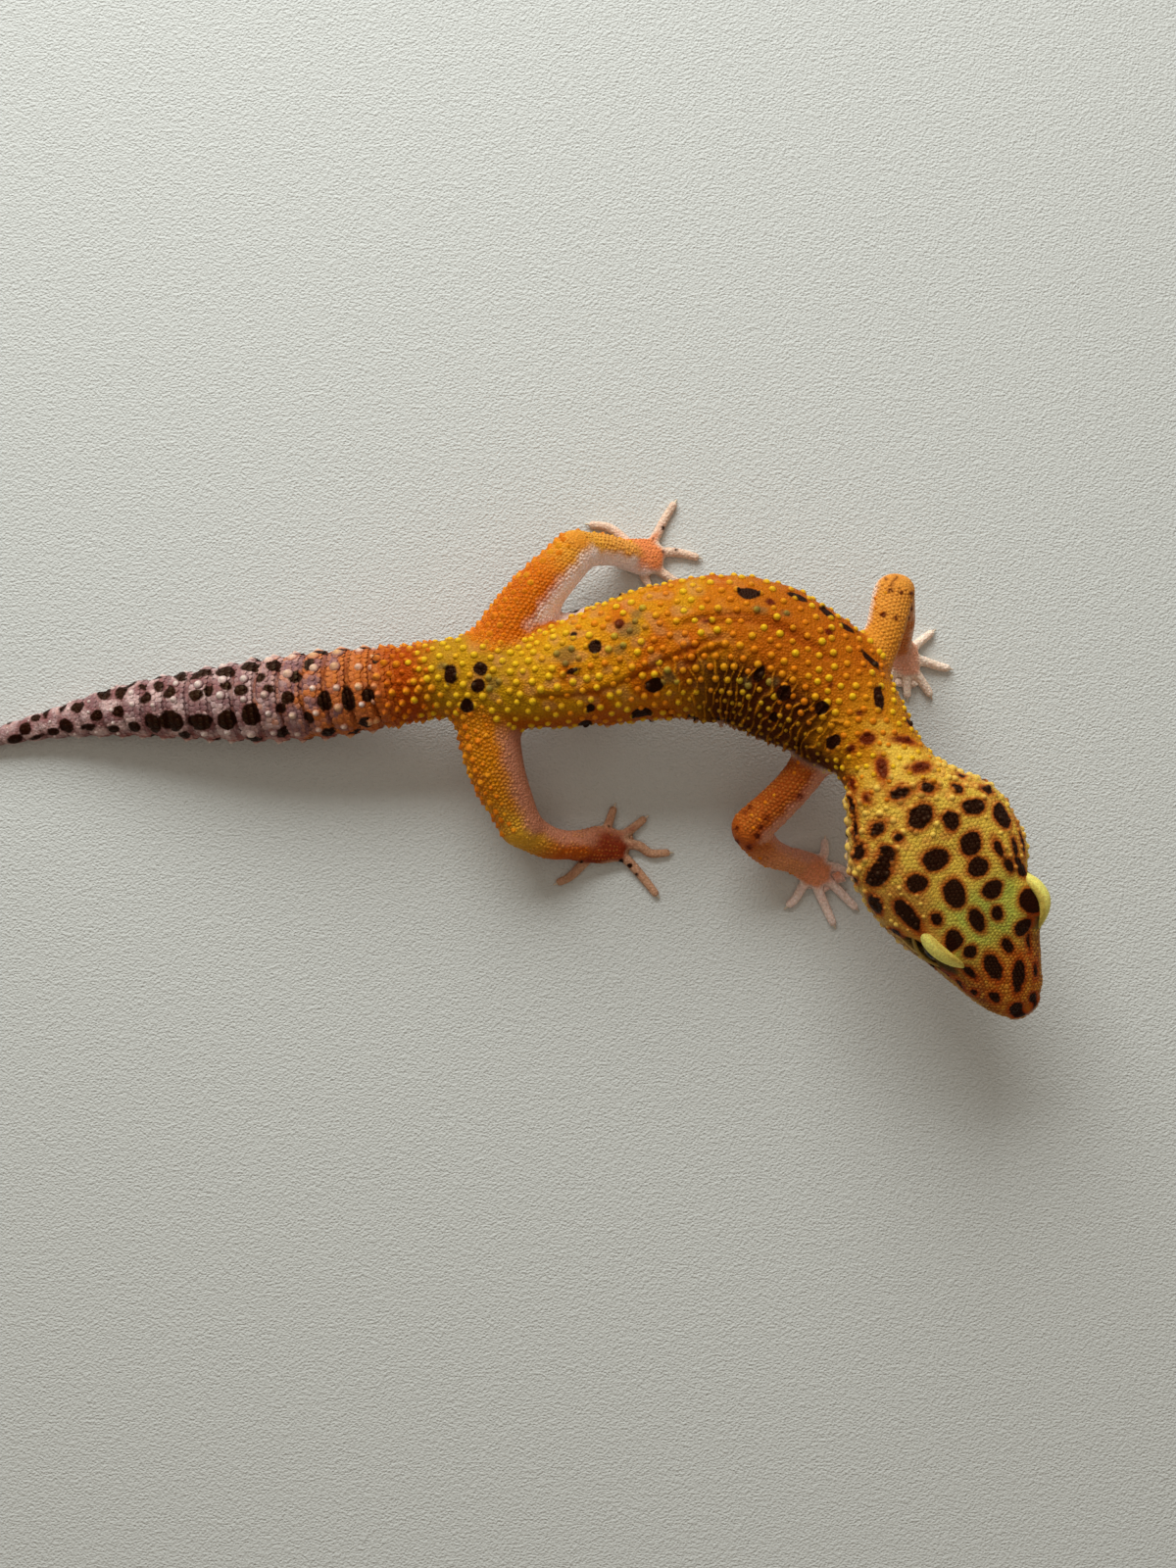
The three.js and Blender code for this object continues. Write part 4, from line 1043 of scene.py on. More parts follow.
def hide_group():
    """Markings of the hide: dark maroon spots with a rusty rim, rosy marks and grey ghosts of
    faded spots over the ground colour, with a fine grain in colour and in height."""
    group = bpy.data.node_groups.new("gecko_hide", "ShaderNodeTree")
    for name in ("Grain", "Depth"):
        group.interface.new_socket(name, in_out="INPUT", socket_type="NodeSocketFloat")
    for name, kind in (("Color", "Color"), ("Roughness", "Float"), ("Height", "Float")):
        group.interface.new_socket(name, in_out="OUTPUT", socket_type="NodeSocket" + kind)
    build = Nodes(group)
    given = build.add("NodeGroupInput")
    place = build.add("ShaderNodeTexCoord")["Object"]
    wobble = build.noise(place, 900.0, Detail=2.0)
    speckle = build.noise(place, 2600.0, Detail=2.0)
    cells = build.add("ShaderNodeTexVoronoi", {"Vector": place, "Scale": given["Grain"], "Randomness": 0.8})
    cells = cells["Distance"]
    read = lambda name, output="Fac": build.add("ShaderNodeAttribute", attribute_name=name)[output]
    bright = build.fade(speckle, 0.25, 0.75, 0.86, 1.12)
    ground = build.vector("SCALE", {0: read("ground", "Color"), "Scale": bright})[0]
    deep = build.vector("MULTIPLY", {0: ground, 1: (0.62, 0.52, 0.42)})[0]
    edge = build.fade(cells, 0.25, 0.75)
    ground = build.blend(build.math("MULTIPLY", edge, 0.45), ground, deep)
    shift = build.math("MULTIPLY", build.math("SUBTRACT", wobble, 0.5), 0.6)
    gap, rosy, faded = (build.math("ADD", read(name), shift)
                        for name in ("spot_gap", "rosy_gap", "faded_gap"))
    near = build.fade(build.math("MINIMUM", gap, rosy), 0.85, 0.0)
    colour = build.blend(build.fade(faded, 0.35, -0.5, 0.0, 0.62), ground, rgba(98, 78, 44))
    colour = build.blend(build.math("MULTIPLY", near, read("rusty_rim")), colour, rgba(158, 54, 5))
    colour = build.blend(build.fade(rosy, 0.25, -0.2, 0.0, 0.95), colour, rgba(84, 15, 2))
    colour = build.blend(build.fade(gap, 0.17, -0.13), colour, rgba(34, 6, 2))
    rough = build.fade(cells, 0.1, 0.8, 0.42, 0.62)
    height = build.math("MULTIPLY", build.fade(cells, 0.75, 0.1), given["Depth"])
    build.add("NodeGroupOutput", {"Color": colour, "Roughness": rough, "Height": height})
    return group


HIDE = hide_group()


def hide_material(name, grain, depth, bump=0.0001, soft=0.08, gloss=0.10):
    """The hide with its grain as cells to the metre, how deep the grain is, the bump's height in
    metres, how much light sinks in, and how much shines off."""
    material, build, shader = started_material(name)
    marks = build.add("ShaderNodeGroup", {"Grain": grain, "Depth": depth}, node_tree=HIDE)
    ridge = build.add("ShaderNodeBump", {"Height": marks["Height"], "Distance": bump, "Strength": 0.8})
    build.wire(shader, {
        "Base Color": marks["Color"], "Roughness": marks["Roughness"], "Normal": ridge["Normal"],
        "Specular IOR Level": gloss, "Specular Tint": (1.0, 0.74, 0.35, 1.0),
        "Subsurface Weight": soft, "Subsurface Radius": (1.0, 0.35, 0.2), "Subsurface Scale": 0.0009,
    })
    return material


skin_mesh.materials.append(hide_material("gecko_skin", grain=2600.0, depth=1.0))
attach(skin, "root")
flesh = [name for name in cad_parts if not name.startswith(("eye_", "claw_"))]
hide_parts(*flesh)


# ---------------------------------------------------------------------------------------------
# Tubercles of back and flanks. Low horny bumps stand in long rows over the fine-grained hide,
# yellow or orange on the plain hide and dark on the spots. The belly has none.
# ---------------------------------------------------------------------------------------------
# Outlines as fractions of a bump's radius and height, from the skirt under the skin to the top.
DOME = [(1.30, -0.35), (1.08, 0.10), (0.86, 0.52), (0.52, 0.86), (0.22, 0.98)]
CONE = [(1.35, -0.35), (1.10, 0.08), (0.76, 0.42), (0.42, 0.74), (0.16, 0.95)]
GRAIN = [(1.15, -0.30), (0.86, 0.55)]
OUTLINE_REACH = 1.4        # just past the widest of them
BAKE_PATCH = 0.003         # side of each bump's patch of the OFBake map
HORN = hide_material("tubercle_horn", grain=5200.0, depth=0.5, bump=0.00004, soft=0.04, gloss=0.22)


def rooted(points):
    """Brings points onto the finished skin, relief included, with its direction there."""
    for _ in range(2):
        points = points - skin_distance(points)[0][:, None] * skin_normal(points)
    at = place_all(points)
    normal = skin_normal(points)
    return points + normal * relief_at(points, at)[:, None], normal, at


def rows_of(start, end, pitch, row_pitch, last_turn, jitter, seed):
    """Runs and turns of bumps in long rows beside the spine, a pitch apart in the hide: every
    second row is set half a pitch on."""
    dice = np.random.default_rng(seed)
    run, row = np.meshgrid(np.arange(start, end, pitch), np.arange(-34, 35), indexing="ij")
    run = run + (row % 2) * pitch / 2 + dice.normal(0, jitter * pitch, run.shape)
    arc = (row + dice.normal(0, jitter, run.shape)) * row_pitch(run)
    run, arc = run.ravel(), arc.ravel()
    turn = turn_of_arc(run, arc)
    inside = np.abs(turn) < last_turn
    return run[inside], turn[inside]


def studs(name, roots, normal, heading, radius, height, outline, sides, lean, unwrap, colour, at,
          shrink=1.0, ground=None):
    """Joined bumps: rings of a dome or cone round each root, leaning along the heading, their own
    colour on top and the ground's round the foot. Each has a small patch of the OFBake map at its
    root's place on the unrolled skin."""
    count = len(roots)
    ahead = unit(heading - (heading * normal).sum(1)[:, None] * normal)
    beside = np.cross(normal, ahead)
    angle = np.arange(sides) * 2 * np.pi / sides
    bump = np.array([[r * np.cos(a), r * np.sin(a), z] for r, z in outline for a in angle] + [[0, 0, 1.0]])
    x, y, z = bump.T
    radius, height = radius[:, None, None], height[:, None, None]
    spread = radius * (x[:, None] * ahead[:, None] + y[:, None] * beside[:, None])
    rise = z[:, None] * normal[:, None] + lean * np.clip(z, 0, 1)[:, None]**2 * ahead[:, None]
    points = roots[:, None] + spread + height * rise
    rings = len(outline)
    walls, top = ring_quads(rings, sides), fan((rings - 1) * sides, sides, rings * sides)
    base = [list(range(sides - 1, -1, -1))]
    shift = np.arange(count) * len(bump)
    faces = []
    for kind in (walls, top, base):
        faces += (np.array(kind)[None] + shift[:, None, None]).reshape(-1, len(kind[0])).tolist()
    mesh = mesh_from(name, points.reshape(-1, 3), faces)
    shade_smooth(mesh)
    corners = np.empty(len(mesh.loops), int)
    mesh.loops.foreach_get("vertex_index", corners)
    uv = (unwrap[:, None] + np.column_stack([x, y]) * BAKE_PATCH / 2 / OUTLINE_REACH).reshape(-1, 2)
    mesh.uv_layers.new(name="OFBake").data.foreach_set("uv", uv[corners].ravel())
    here = SimpleNamespace(
        run=(at.run[:, None] + (spread * at.along[:, None]).sum(-1)).ravel(),
        arc=(at.arc[:, None] + (spread * np.cross(at.along, normal)[:, None]).sum(-1) * -1).ravel(),
        limb=np.repeat(at.limb, len(bump)), trunk=np.repeat(at.trunk, len(bump)))
    shade = np.repeat(colour, len(bump), axis=0)
    if ground is not None:
        shade = mix(np.repeat(ground, len(bump), axis=0), shade, np.tile(smoothstep(-0.1, 0.75, z), count))
    mark(mesh, points.reshape(-1, 3), here, shade, shrink)
    mesh.materials.append(HORN)
    piece = add_object(name, mesh)
    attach(piece, "root")


def body_unwrap(at, first, last):
    """The hide unrolled from the spine: along the map with the run, across it with the turn."""
    share = (at.run - first) / (last - first)
    return np.column_stack([0.01 + 0.98 * share, 0.5 + 0.98 * at.turn / (2 * np.pi)])


def take(at, mask):
    """The same facts for the chosen points only."""
    return SimpleNamespace(**{key: value[mask] for key, value in vars(at).items()})


def planted(run, turn, allowed):
    """Roots on the finished skin for bumps at the given runs and turns, where they are allowed."""
    points, normal, at = rooted(on_form(body, run, turn, section_power(run)))
    at.along = at_run(body, at.run).along
    chosen = allowed(points, at)
    return points[chosen], normal[chosen], take(at, chosen)


TUBERCLE_YELLOW, TUBERCLE_ORANGE, TUBERCLE_PALE = srgb(232, 184, 22), srgb(222, 126, 10), srgb(226, 200, 130)
SHADED_HORN, FADED_HORN = srgb(138, 80, 14), srgb(140, 128, 48)


def body_tubercles():
    row_pitch = lambda run: 1.42 + 0.22 * smoothstep(90, 120, run) * smoothstep(158, 140, run)
    run, turn = rows_of(80.5, 160, 2.1, row_pitch, 2.05, 0.10, 41)
    on_trunk = lambda points, at: (at.limb > 0.4) & (at.run > 80) & (at.run < 159)
    points, normal, at = planted(run, turn, on_trunk)
    luck = chance(42, points)
    ramp = lambda low, high: smoothstep(low, high, at.run)
    inner_flank = smoothstep(-0.3, -1.0, at.turn) * ramp(114, 124) * ramp(152, 146)
    size = (0.41 + 0.12 * luck) * (1 - 0.30 * smoothstep(1.2, 2.0, np.abs(at.turn)))
    size *= 1 - 0.28 * ramp(144, 156) - 0.34 * inner_flank
    golden = 0.38 + 0.5 * ripple(points, 7, 43) + 0.35 * np.abs(at.turn) + 0.6 * (luck - 0.5)
    golden -= 0.12 * ramp(114, 124) * ramp(150, 142)
    golden += 0.20 * ramp(104, 92)
    ground = ground_colour(points, normal, at)
    colour = mix(TUBERCLE_ORANGE, TUBERCLE_YELLOW, smoothstep(0.2, 0.7, golden))
    # Painted shade: tubercles in the inner bend of the flank take the darkened ground and a brown horn
    # colour.
    colour = mix(colour, ground, 0.06 + 0.30 * inner_flank)
    colour = mix(colour, SHADED_HORN, 0.55 * inner_flank)
    colour = mix(colour, TUBERCLE_PALE, 0.8 * smoothstep(1.45, 2.0, np.abs(at.turn)))
    colour = mix(colour, FADED_HORN, 0.75 * smoothstep(0.8, 0.0, gap_to_spots(at, FADED_PATCHES)))
    studs("body_tubercles", points, normal, -at.along, size * 1.05, size * 0.88, DOME, 10, 0.18,
          body_unwrap(at, 78, 160), colour, at, ground=ground)


body_tubercles()


# ---------------------------------------------------------------------------------------------
# Scales of the tail. Each ring carries four rows of small flat scales, and one row of blunt
# horny cones that lean to the tip: white on the lilac part, orange and crowded at the root.
# ---------------------------------------------------------------------------------------------
TAIL_RINGS, RING_ROWS, SCALE_WIDTH = 23, 4, 0.78
SCALE_PALE, SCALE_ORANGE = srgb(226, 208, 204), srgb(216, 120, 22)
CONE_WHITE, CONE_CREAM = srgb(234, 216, 206), srgb(228, 176, 118)
ROOT_ORANGE, ROOT_YELLOW = srgb(200, 90, 4), srgb(228, 142, 14)


def tail_scales():
    rows = np.arange(1, TAIL_RINGS * RING_ROWS) * WHORL_PITCH / RING_ROWS + WHORL_PITCH / 8
    radii = at_run(body, rows).girth[:, :2].mean(axis=1)
    around = [max(8, round(2 * np.pi * radius / SCALE_WIDTH)) for radius in radii]
    run = np.concatenate([np.full(count, run) for run, count in zip(rows, around)])
    turn = np.concatenate([(np.arange(count) + 0.5 * (k % 2)) / count * 2 * np.pi - np.pi
                           for k, count in enumerate(around)])
    dice = np.random.default_rng(51)
    run = run + dice.normal(0, 0.05, len(run))
    turn = turn + dice.normal(0, 0.02, len(run))
    points, normal, at = planted(run, turn, lambda points, at: (at.limb > 0.4) & (points[:, 2] > 0.25))
    slim = np.clip(at.girth[:, 0] / 5, 0.35, 1)
    colour = ground_colour(points, normal, at)
    for tint, amount, low, high in ((SCALE_PALE, 0.16, 66, 50), (SCALE_ORANGE, 0.3, 52, 66)):
        colour = mix(colour, tint, amount * dice.uniform(0, 1, len(points)) * smoothstep(low, high, at.run))
    studs("tail_scales", points, normal, -at.along, 0.40 * slim + 0.04, 0.045 * slim + 0.015, GRAIN, 6,
          0.3, body_unwrap(at, 0, 82), colour, at)


def tail_cones():
    run, row = np.meshgrid(np.arange(5, 22) * WHORL_PITCH + 1.3, np.arange(-6, 6), indexing="ij")
    turn = 0.08 + row * 2 * np.pi / 12
    run, turn = run.ravel(), turn.ravel() + 0.05 * np.sin(run.ravel())
    root_run, root_turn = rows_of(74.6, 82.5, 1.9, lambda run: 1.40 + 0 * run, 2.3, 0.09, 53)
    run, turn = np.append(run, root_run), np.append(turn, root_turn)
    dice = np.random.default_rng(52)
    run = run + dice.normal(0, 0.12, len(run))
    turn = turn + dice.normal(0, 0.035, len(turn))
    off_spots = lambda at: (gap_to_spots(at, TAIL_SPOTS) > 0.25) | (at.run > 74)
    points, normal, at = planted(run, turn, lambda points, at: (
        (at.limb > 0.3) & (points[:, 2] > 1.0) & off_spots(at)))
    slim = np.clip(at.girth[:, 0] / 5.5, 0.3, 1)
    at_root = smoothstep(73, 76, at.run)
    luck = dice.uniform(0, 1, len(points))
    size = slim * (0.41 + 0.16 * luck) * (1 - 0.35 * smoothstep(1.9, 2.6, np.abs(at.turn)))
    broad = 1.08 + 0.24 * smoothstep(0.1, 0.9, at.turn) * smoothstep(34, 48, at.run) * (1 - at_root)
    ground = ground_colour(points, normal, at)
    colour = mix(CONE_WHITE, CONE_CREAM, smoothstep(50, 68, at.run) * luck)
    colour = mix(colour, ground, 0.08 + 0.28 * dice.uniform(0, 1, len(points)))
    colour = mix(colour, mix(ROOT_ORANGE, ROOT_YELLOW, luck), at_root)
    studs("tail_cones", points, normal, -at.along, size * broad, size * (0.88 + 0.3 * at_root), CONE, 10,
          0.40, body_unwrap(at, 0, 84), colour, at, shrink=0.45, ground=ground)


tail_scales()
tail_cones()


# ---------------------------------------------------------------------------------------------
# Grains of head and neck. Even, pebble-like scales cover the skull and snout, with bigger yellow
# tubercles scattered over the nape, the temples and the neck.
# ---------------------------------------------------------------------------------------------
HEAD_GRAIN_PALE, SNOUT_GRAIN, NAPE_YELLOW = srgb(222, 186, 84), srgb(222, 160, 58), srgb(242, 204, 92)


def bare_places(at):
    """True in the eye openings, nostrils, ears and mouth, where no grain grows."""
    back, left, up = at.local.T
    in_eye = (eye_opening(at.local) < 1.35) & (np.abs(left) > 4.5)
    lid = ((back - EYE_BACK) / 4.8)**2 + ((np.abs(left) - 7.0) / 2.5)**2 < 1
    return in_eye | (lid & (up > 1)) | (at.nostril > 0.25) | (at.ear > 0.2) | (at.mouth > 0.5)


def head_grains():
    row_pitch = lambda run: 0.47 + 0.10 * smoothstep(182, 165, run)
    run, turn = rows_of(152, BODY_LENGTH - 0.4, 0.52, row_pitch, 2.3, 0.12, 61)
    thinning = lambda at: np.random.default_rng(60).uniform(153, 161, len(at.run)) < at.run
    points, normal, at = planted(run, turn, lambda points, at: (
        (at.limb > 0.5) & ~bare_places(at) & thinning(at)))
    luck = chance(62, points)
    size = 0.23 + 0.05 * smoothstep(182, 165, at.run) + 0.04 * luck
    height = 0.09 + 0.12 * luck + 0.26 * smoothstep(178, 184, at.run)
    colour = ground_colour(points, normal, at)
    colour = mix(colour, HEAD_GRAIN_PALE, (0.03 + 0.14 * luck**2) * smoothstep(186, 178, at.run))
    colour = mix(colour, SNOUT_GRAIN, 0.60 * luck * smoothstep(178, 186, at.run))
    studs("head_grains", points, normal, -at.along, size, size * height, GRAIN, 6, 0.1,
          body_unwrap(at, 146, BODY_LENGTH), colour, at)


def nape_tubercles():
    run, turn = rows_of(150, 180, 1.75, lambda run: 1.55 + 0 * run, 2.2, 0.18, 63)
    in_zone = lambda at: (at.run > 156) & ((at.run < 164) | (np.abs(at.arc) > 6.0))
    points, normal, at = planted(run, turn, lambda points, at: (
        (at.limb > 0.5) & ~bare_places(at) & in_zone(at)))
    luck = chance(64, points)
    size = (0.38 + 0.14 * luck) * (1 - 0.35 * smoothstep(157, 170, at.run))
    size *= 1 + 0.35 * smoothstep(0.9, 1.4, np.abs(at.turn))
    ground = ground_colour(points, normal, at)
    colour = mix(ground, NAPE_YELLOW, 0.45 + 0.40 * luck)
    studs("nape_tubercles", points, normal, -at.along, size * 1.05, size * 0.85, DOME, 8, 0.1,
          body_unwrap(at, 146, BODY_LENGTH), colour, at, ground=ground)


head_grains()
nape_tubercles()


# ---------------------------------------------------------------------------------------------
# Grains of the legs. Small scales cover the outer sides, with rows of pointed orange tubercles
# on the thighs and shins; the inner sides and the soles are bare and soft.
# ---------------------------------------------------------------------------------------------
# Where the scaly outer side and the spurred rear edge of each limb face, in the table's order.
OUTER_SIDE = np.array([[-0.75, 0.1, 0.65], [-0.6, 0.35, 0.7], [-0.3, -0.2, 0.9], [-0.35, 0.0, 0.93]])
REAR_EDGE = np.array([[-0.95, 0.05, 0.30], [-0.78, 0.55, 0.30], [-0.80, -0.45, 0.40], [-0.30, 0.85, 0.40]])
LONGEST_PART = 40.0        # no part of a limb is longer on the map


def round_limb(form, pitch, seed):
    """Even places round one swept part of a limb: run, turn, the point there and the direction
    along the part."""
    dice = np.random.default_rng(seed)
    girth = form.girth[:, :2].mean()
    turns = max(8, int(round(2 * np.pi * girth / pitch)))
    run, row = np.meshgrid(np.arange(0.5, form.run[-1], pitch), np.arange(turns), indexing="ij")
    run = (run + (row % 2) * pitch / 2 + dice.normal(0, 0.1 * pitch, run.shape)).ravel()
    turn = ((row + dice.normal(0, 0.1, row.shape)) * 2 * np.pi / turns).ravel()
    run, turn = run[run < form.run[-1]], turn[run < form.run[-1]]
    return run, turn, on_form(form, run, turn), at_run(form, run).along


def limb_studs(name, pitch, seed, sides, outline, size_of, colour_of, lean, steepness):
    """Bumps on the outer sides of the limbs, each limb and part in its own field of the map."""
    parts = []
    for index, limb in enumerate(limb_forms.values()):
        for part, form in enumerate((limb.upper, limb.lower, limb.palm)):
            run, turn, points, along = round_limb(form, pitch, seed + 10 * index + part)
            root, normal, at = rooted(points)
            at.along = along
            at.outside = normal @ unit(OUTER_SIDE[index])
            at.edge = normal @ unit(REAR_EDGE[index])
            at.part = np.full(len(root), part)
            where = np.column_stack([(index + 0.04 + 0.9 * run / LONGEST_PART) / 4,
                                     (part + 0.05 + 0.9 * turn / (2 * np.pi)) / 3])
            stayed = np.linalg.norm(root - points, axis=1) < 0.9
            own = (at.trunk > 0.35) & (at.limb_index == index)
            chosen = stayed & own & (at.outside > 0.0) & (root[:, 2] > 0.9)
            parts.append((root[chosen], normal[chosen], where[chosen], take(at, chosen)))
    points, normal, where = (np.vstack([part[i] for part in parts]) for i in range(3))
    keys = vars(parts[0][3]).keys()
    at = SimpleNamespace(**{key: np.concatenate([vars(part[3])[key] for part in parts]) for key in keys})
    size, kept = size_of(points, at)
    points, normal, where, at, size = points[kept], normal[kept], where[kept], take(at, kept), size[kept]
    studs(name, points, normal, at.along, size, size * steepness, outline, sides, lean, where,
          colour_of(points, normal, at), at)


def grain_size(points, at):
    dice = np.random.default_rng(71)
    size = 0.21 + 0.07 * dice.uniform(0, 1, len(points))
    wanted = at.outside > 0.05 + 0.25 * dice.uniform(0, 1, len(points))
    return size * (0.7 + 0.3 * smoothstep(1.5, 6, points[:, 2])), wanted


def grain_colour(points, normal, at):
    return mix(ground_colour(points, normal, at), srgb(230, 158, 62), 0.25 * chance(72, points))


def spur_size(points, at):
    luck = chance(73, points)
    hind = at.limb_index < 2
    size = (0.32 + 0.20 * luck) * np.where(hind, 1.0, 0.55) * (0.7 + 0.5 * smoothstep(0.3, 0.9, at.edge))
    wanted = np.where(hind, 0.30, 0.60)
    return size, (at.edge > wanted) & (at.part < 2) & (luck > np.where(hind, 0.05, 0.4))


def spur_colour(points, normal, at):
    yellow = 0.7 * chance(74, points) + 0.5 * smoothstep(8, 4, points[:, 2]) * (at.limb_index < 2)
    return mix(srgb(218, 118, 10), srgb(226, 162, 28), smoothstep(0.3, 1.0, yellow))


limb_studs("limb_grains", 0.58, 700, 6, GRAIN, grain_size, grain_colour, 0.25, 0.45)
limb_studs("limb_spurs", 1.45, 800, 8, CONE, spur_size, spur_colour, 0.35, 0.85)


# ---------------------------------------------------------------------------------------------
# Eyelids. A thick pale fold hoods each eye from above, and a thin rim closes it from below.
# Both are soft skin, drawn out to a corner in front and behind.
# ---------------------------------------------------------------------------------------------
# Lid folds as rows of back, left, up, half width, half thickness, in the head's directions.
UPPER_LID_RIGHT = [
    [18.9, 7.6, 2.9, 0.28, 0.26], [18.2, 7.8, 3.6, 0.60, 0.42], [17.0, 7.7, 4.1, 0.95, 0.52],
    [15.3, 7.45, 4.4, 1.12, 0.58], [13.5, 6.8, 4.5, 1.12, 0.58], [12.1, 6.05, 4.3, 0.95, 0.50],
    [11.2, 5.45, 4.0, 0.65, 0.42], [10.5, 5.0, 3.6, 0.28, 0.28],
]
UPPER_LID_LEFT = [
    [18.3, 7.5, 2.3, 0.30, 0.28], [17.3, 8.1, 3.1, 0.80, 0.46], [15.9, 8.75, 3.5, 1.10, 0.58],
    [14.5, 9.05, 3.6, 1.22, 0.64], [13.2, 9.0, 3.6, 1.25, 0.66], [11.9, 8.45, 3.5, 1.15, 0.60],
    [10.7, 7.5, 3.1, 0.85, 0.50], [9.8, 6.6, 2.6, 0.30, 0.30],
]
LOWER_LID_RIGHT = [
    [18.8, 7.6, 2.7, 0.20, 0.20], [17.7, 8.45, 1.5, 0.28, 0.24], [16.1, 8.95, 0.95, 0.30, 0.26],
    [14.3, 9.0, 0.75, 0.30, 0.26], [12.6, 8.4, 0.95, 0.28, 0.24], [11.3, 7.3, 1.6, 0.24, 0.22],
    [10.4, 6.1, 2.5, 0.2, 0.2],
]
LOWER_LID_LEFT = [
    [18.4, 7.9, 2.2, 0.24, 0.22], [17.3, 8.8, 1.3, 0.40, 0.30], [15.8, 9.35, 0.85, 0.46, 0.34],
    [14.1, 9.4, 0.7, 0.46, 0.34], [12.4, 8.8, 0.9, 0.42, 0.32], [11.0, 7.7, 1.5, 0.34, 0.26],
    [10.0, 6.6, 2.3, 0.2, 0.2],
]
LID_RINGS, LID_SIDES = 64, 16
LID_YELLOW, LID_SHADED_EDGE, LID_RIM = srgb(246, 234, 122), srgb(176, 132, 36), srgb(176, 154, 92)
# Each lid as rows, side, slope of its fold, and colour.
LIDS = [(UPPER_LID_LEFT, 1, 0.70, LID_YELLOW), (UPPER_LID_RIGHT, -1, 0.60, LID_YELLOW),
        (LOWER_LID_LEFT, 1, 1.2, LID_RIM), (LOWER_LID_RIGHT, -1, 1.2, LID_RIM)]


def lid_fold(rows, side, slope):
    """Points of a fold along a smooth line, and their share of the way across it. Its section is an
    ellipse, as wide as the lid and sloping outwards and down by the given angle."""
    values = catmull_rom(np.array(rows), np.linspace(0, len(rows) - 1, LID_RINGS))
    centre = from_head(values[:, 0], side * values[:, 1], values[:, 2])
    along = unit(np.gradient(centre, axis=0))
    down = side * np.cos(slope) * head_left - np.sin(slope) * head_up
    across = unit(down - (along @ down)[:, None] * along)
    out = np.cross(along, across)
    turn = np.arange(LID_SIDES) * 2 * np.pi / LID_SIDES
    rings = rings_round(centre, across, out, values[:, 3:4], values[:, 4:5], turn)
    return rings.reshape(-1, 3), np.tile(np.cos(turn), LID_RINGS)


def tube_faces(rings, sides):
    """The faces of a tube of rings, closed flat at both ends."""
    ends = [list(range(sides - 1, -1, -1)), list(range((rings - 1) * sides, rings * sides))]
    return ring_quads(rings, sides) + ends


def eyelids():
    points, faces, colour = [], [], []
    for k, (rows, side, slope, base) in enumerate(LIDS):
        fold_points, share = lid_fold(rows, side, slope)
        faces += [[i + len(fold_points) * k for i in face] for face in tube_faces(LID_RINGS, LID_SIDES)]
        points.append(fold_points)
        # Painted shade: each lid darkens towards its inner, upper side, where it stands over the head's skin.
        colour.append(mix(base, LID_SHADED_EDGE, 0.6 * smoothstep(-0.2, -0.9, share)))
    points = np.vstack(points)
    mesh = smooth_solid("eyelids", points, faces)
    same = lambda value: np.full(len(points), value)
    plain = SimpleNamespace(run=same(100.0), arc=same(40.0), limb=same(FAR), trunk=same(0.0))
    mark(mesh, points, plain, np.vstack(colour))
    mesh.materials.append(hide_material("eyelid_skin", grain=4200.0, depth=0.7, bump=0.00005, soft=0.15))
    lids = add_object("eyelids", mesh)
    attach(lids, "root")


eyelids()


# ---------------------------------------------------------------------------------------------
# Eyes. Wet glassy balls with a bronze, dark-veined iris and an upright slit pupil with wavy
# edges, set under the lids.
# ---------------------------------------------------------------------------------------------
EYE_PLACE = np.array([EYE_BACK, 5.3, 1.5])   # back, left, up: the left eye's middle
EYE_RADIUS = 3.05
GAZE = np.array([-0.22, 1.0, 0.12])      # back, left, up: where the left eye looks
CORNEA_SWELL = 0.05
EYE_RINGS, EYE_SIDES = 39, 48


def eye_material():
    """Pupil from the distance to an upright line with a wavy edge; veins from stretched noise."""
    material, build, shader = started_material("gecko_eye")
    sight = build.add("ShaderNodeAttribute", attribute_name="sight")["Vector"]
    parts = build.add("ShaderNodeSeparateXYZ", {"Vector": sight})
    wave = build.math("MULTIPLY", build.math("SINE", build.math("MULTIPLY", parts["Y"], 6.5)), 0.07)
    taper = build.math("MULTIPLY", build.math("POWER", build.math("ABSOLUTE", parts["Y"]), 2.0), 0.075)
    reach = build.math("ADD", build.math("ADD", build.math("ABSOLUTE", parts["X"]), wave), taper)
    veins = build.noise(sight, 3.2, Detail=6.0, Roughness=0.7)
    iris = build.blend(build.fade(veins, 0.42, 0.62), rgba(96, 80, 46), rgba(34, 24, 14))
    gap = build.vector("DISTANCE", {0: sight, 1: (0.0, 0.0, EYE_RADIUS)})["Value"]
    # The iris's dark rim, deepened to near black towards the ball's edge as painted shade under the lids.
    iris = build.blend(build.fade(gap, 1.9, 2.8), iris, rgba(12, 9, 6))
    colour = build.blend(build.fade(reach, 0.50, 0.42), iris, rgba(3, 3, 3))
    build.wire(shader, {"Base Color": colour, "Roughness": 0.10, "Specular IOR Level": 0.08})
    return material


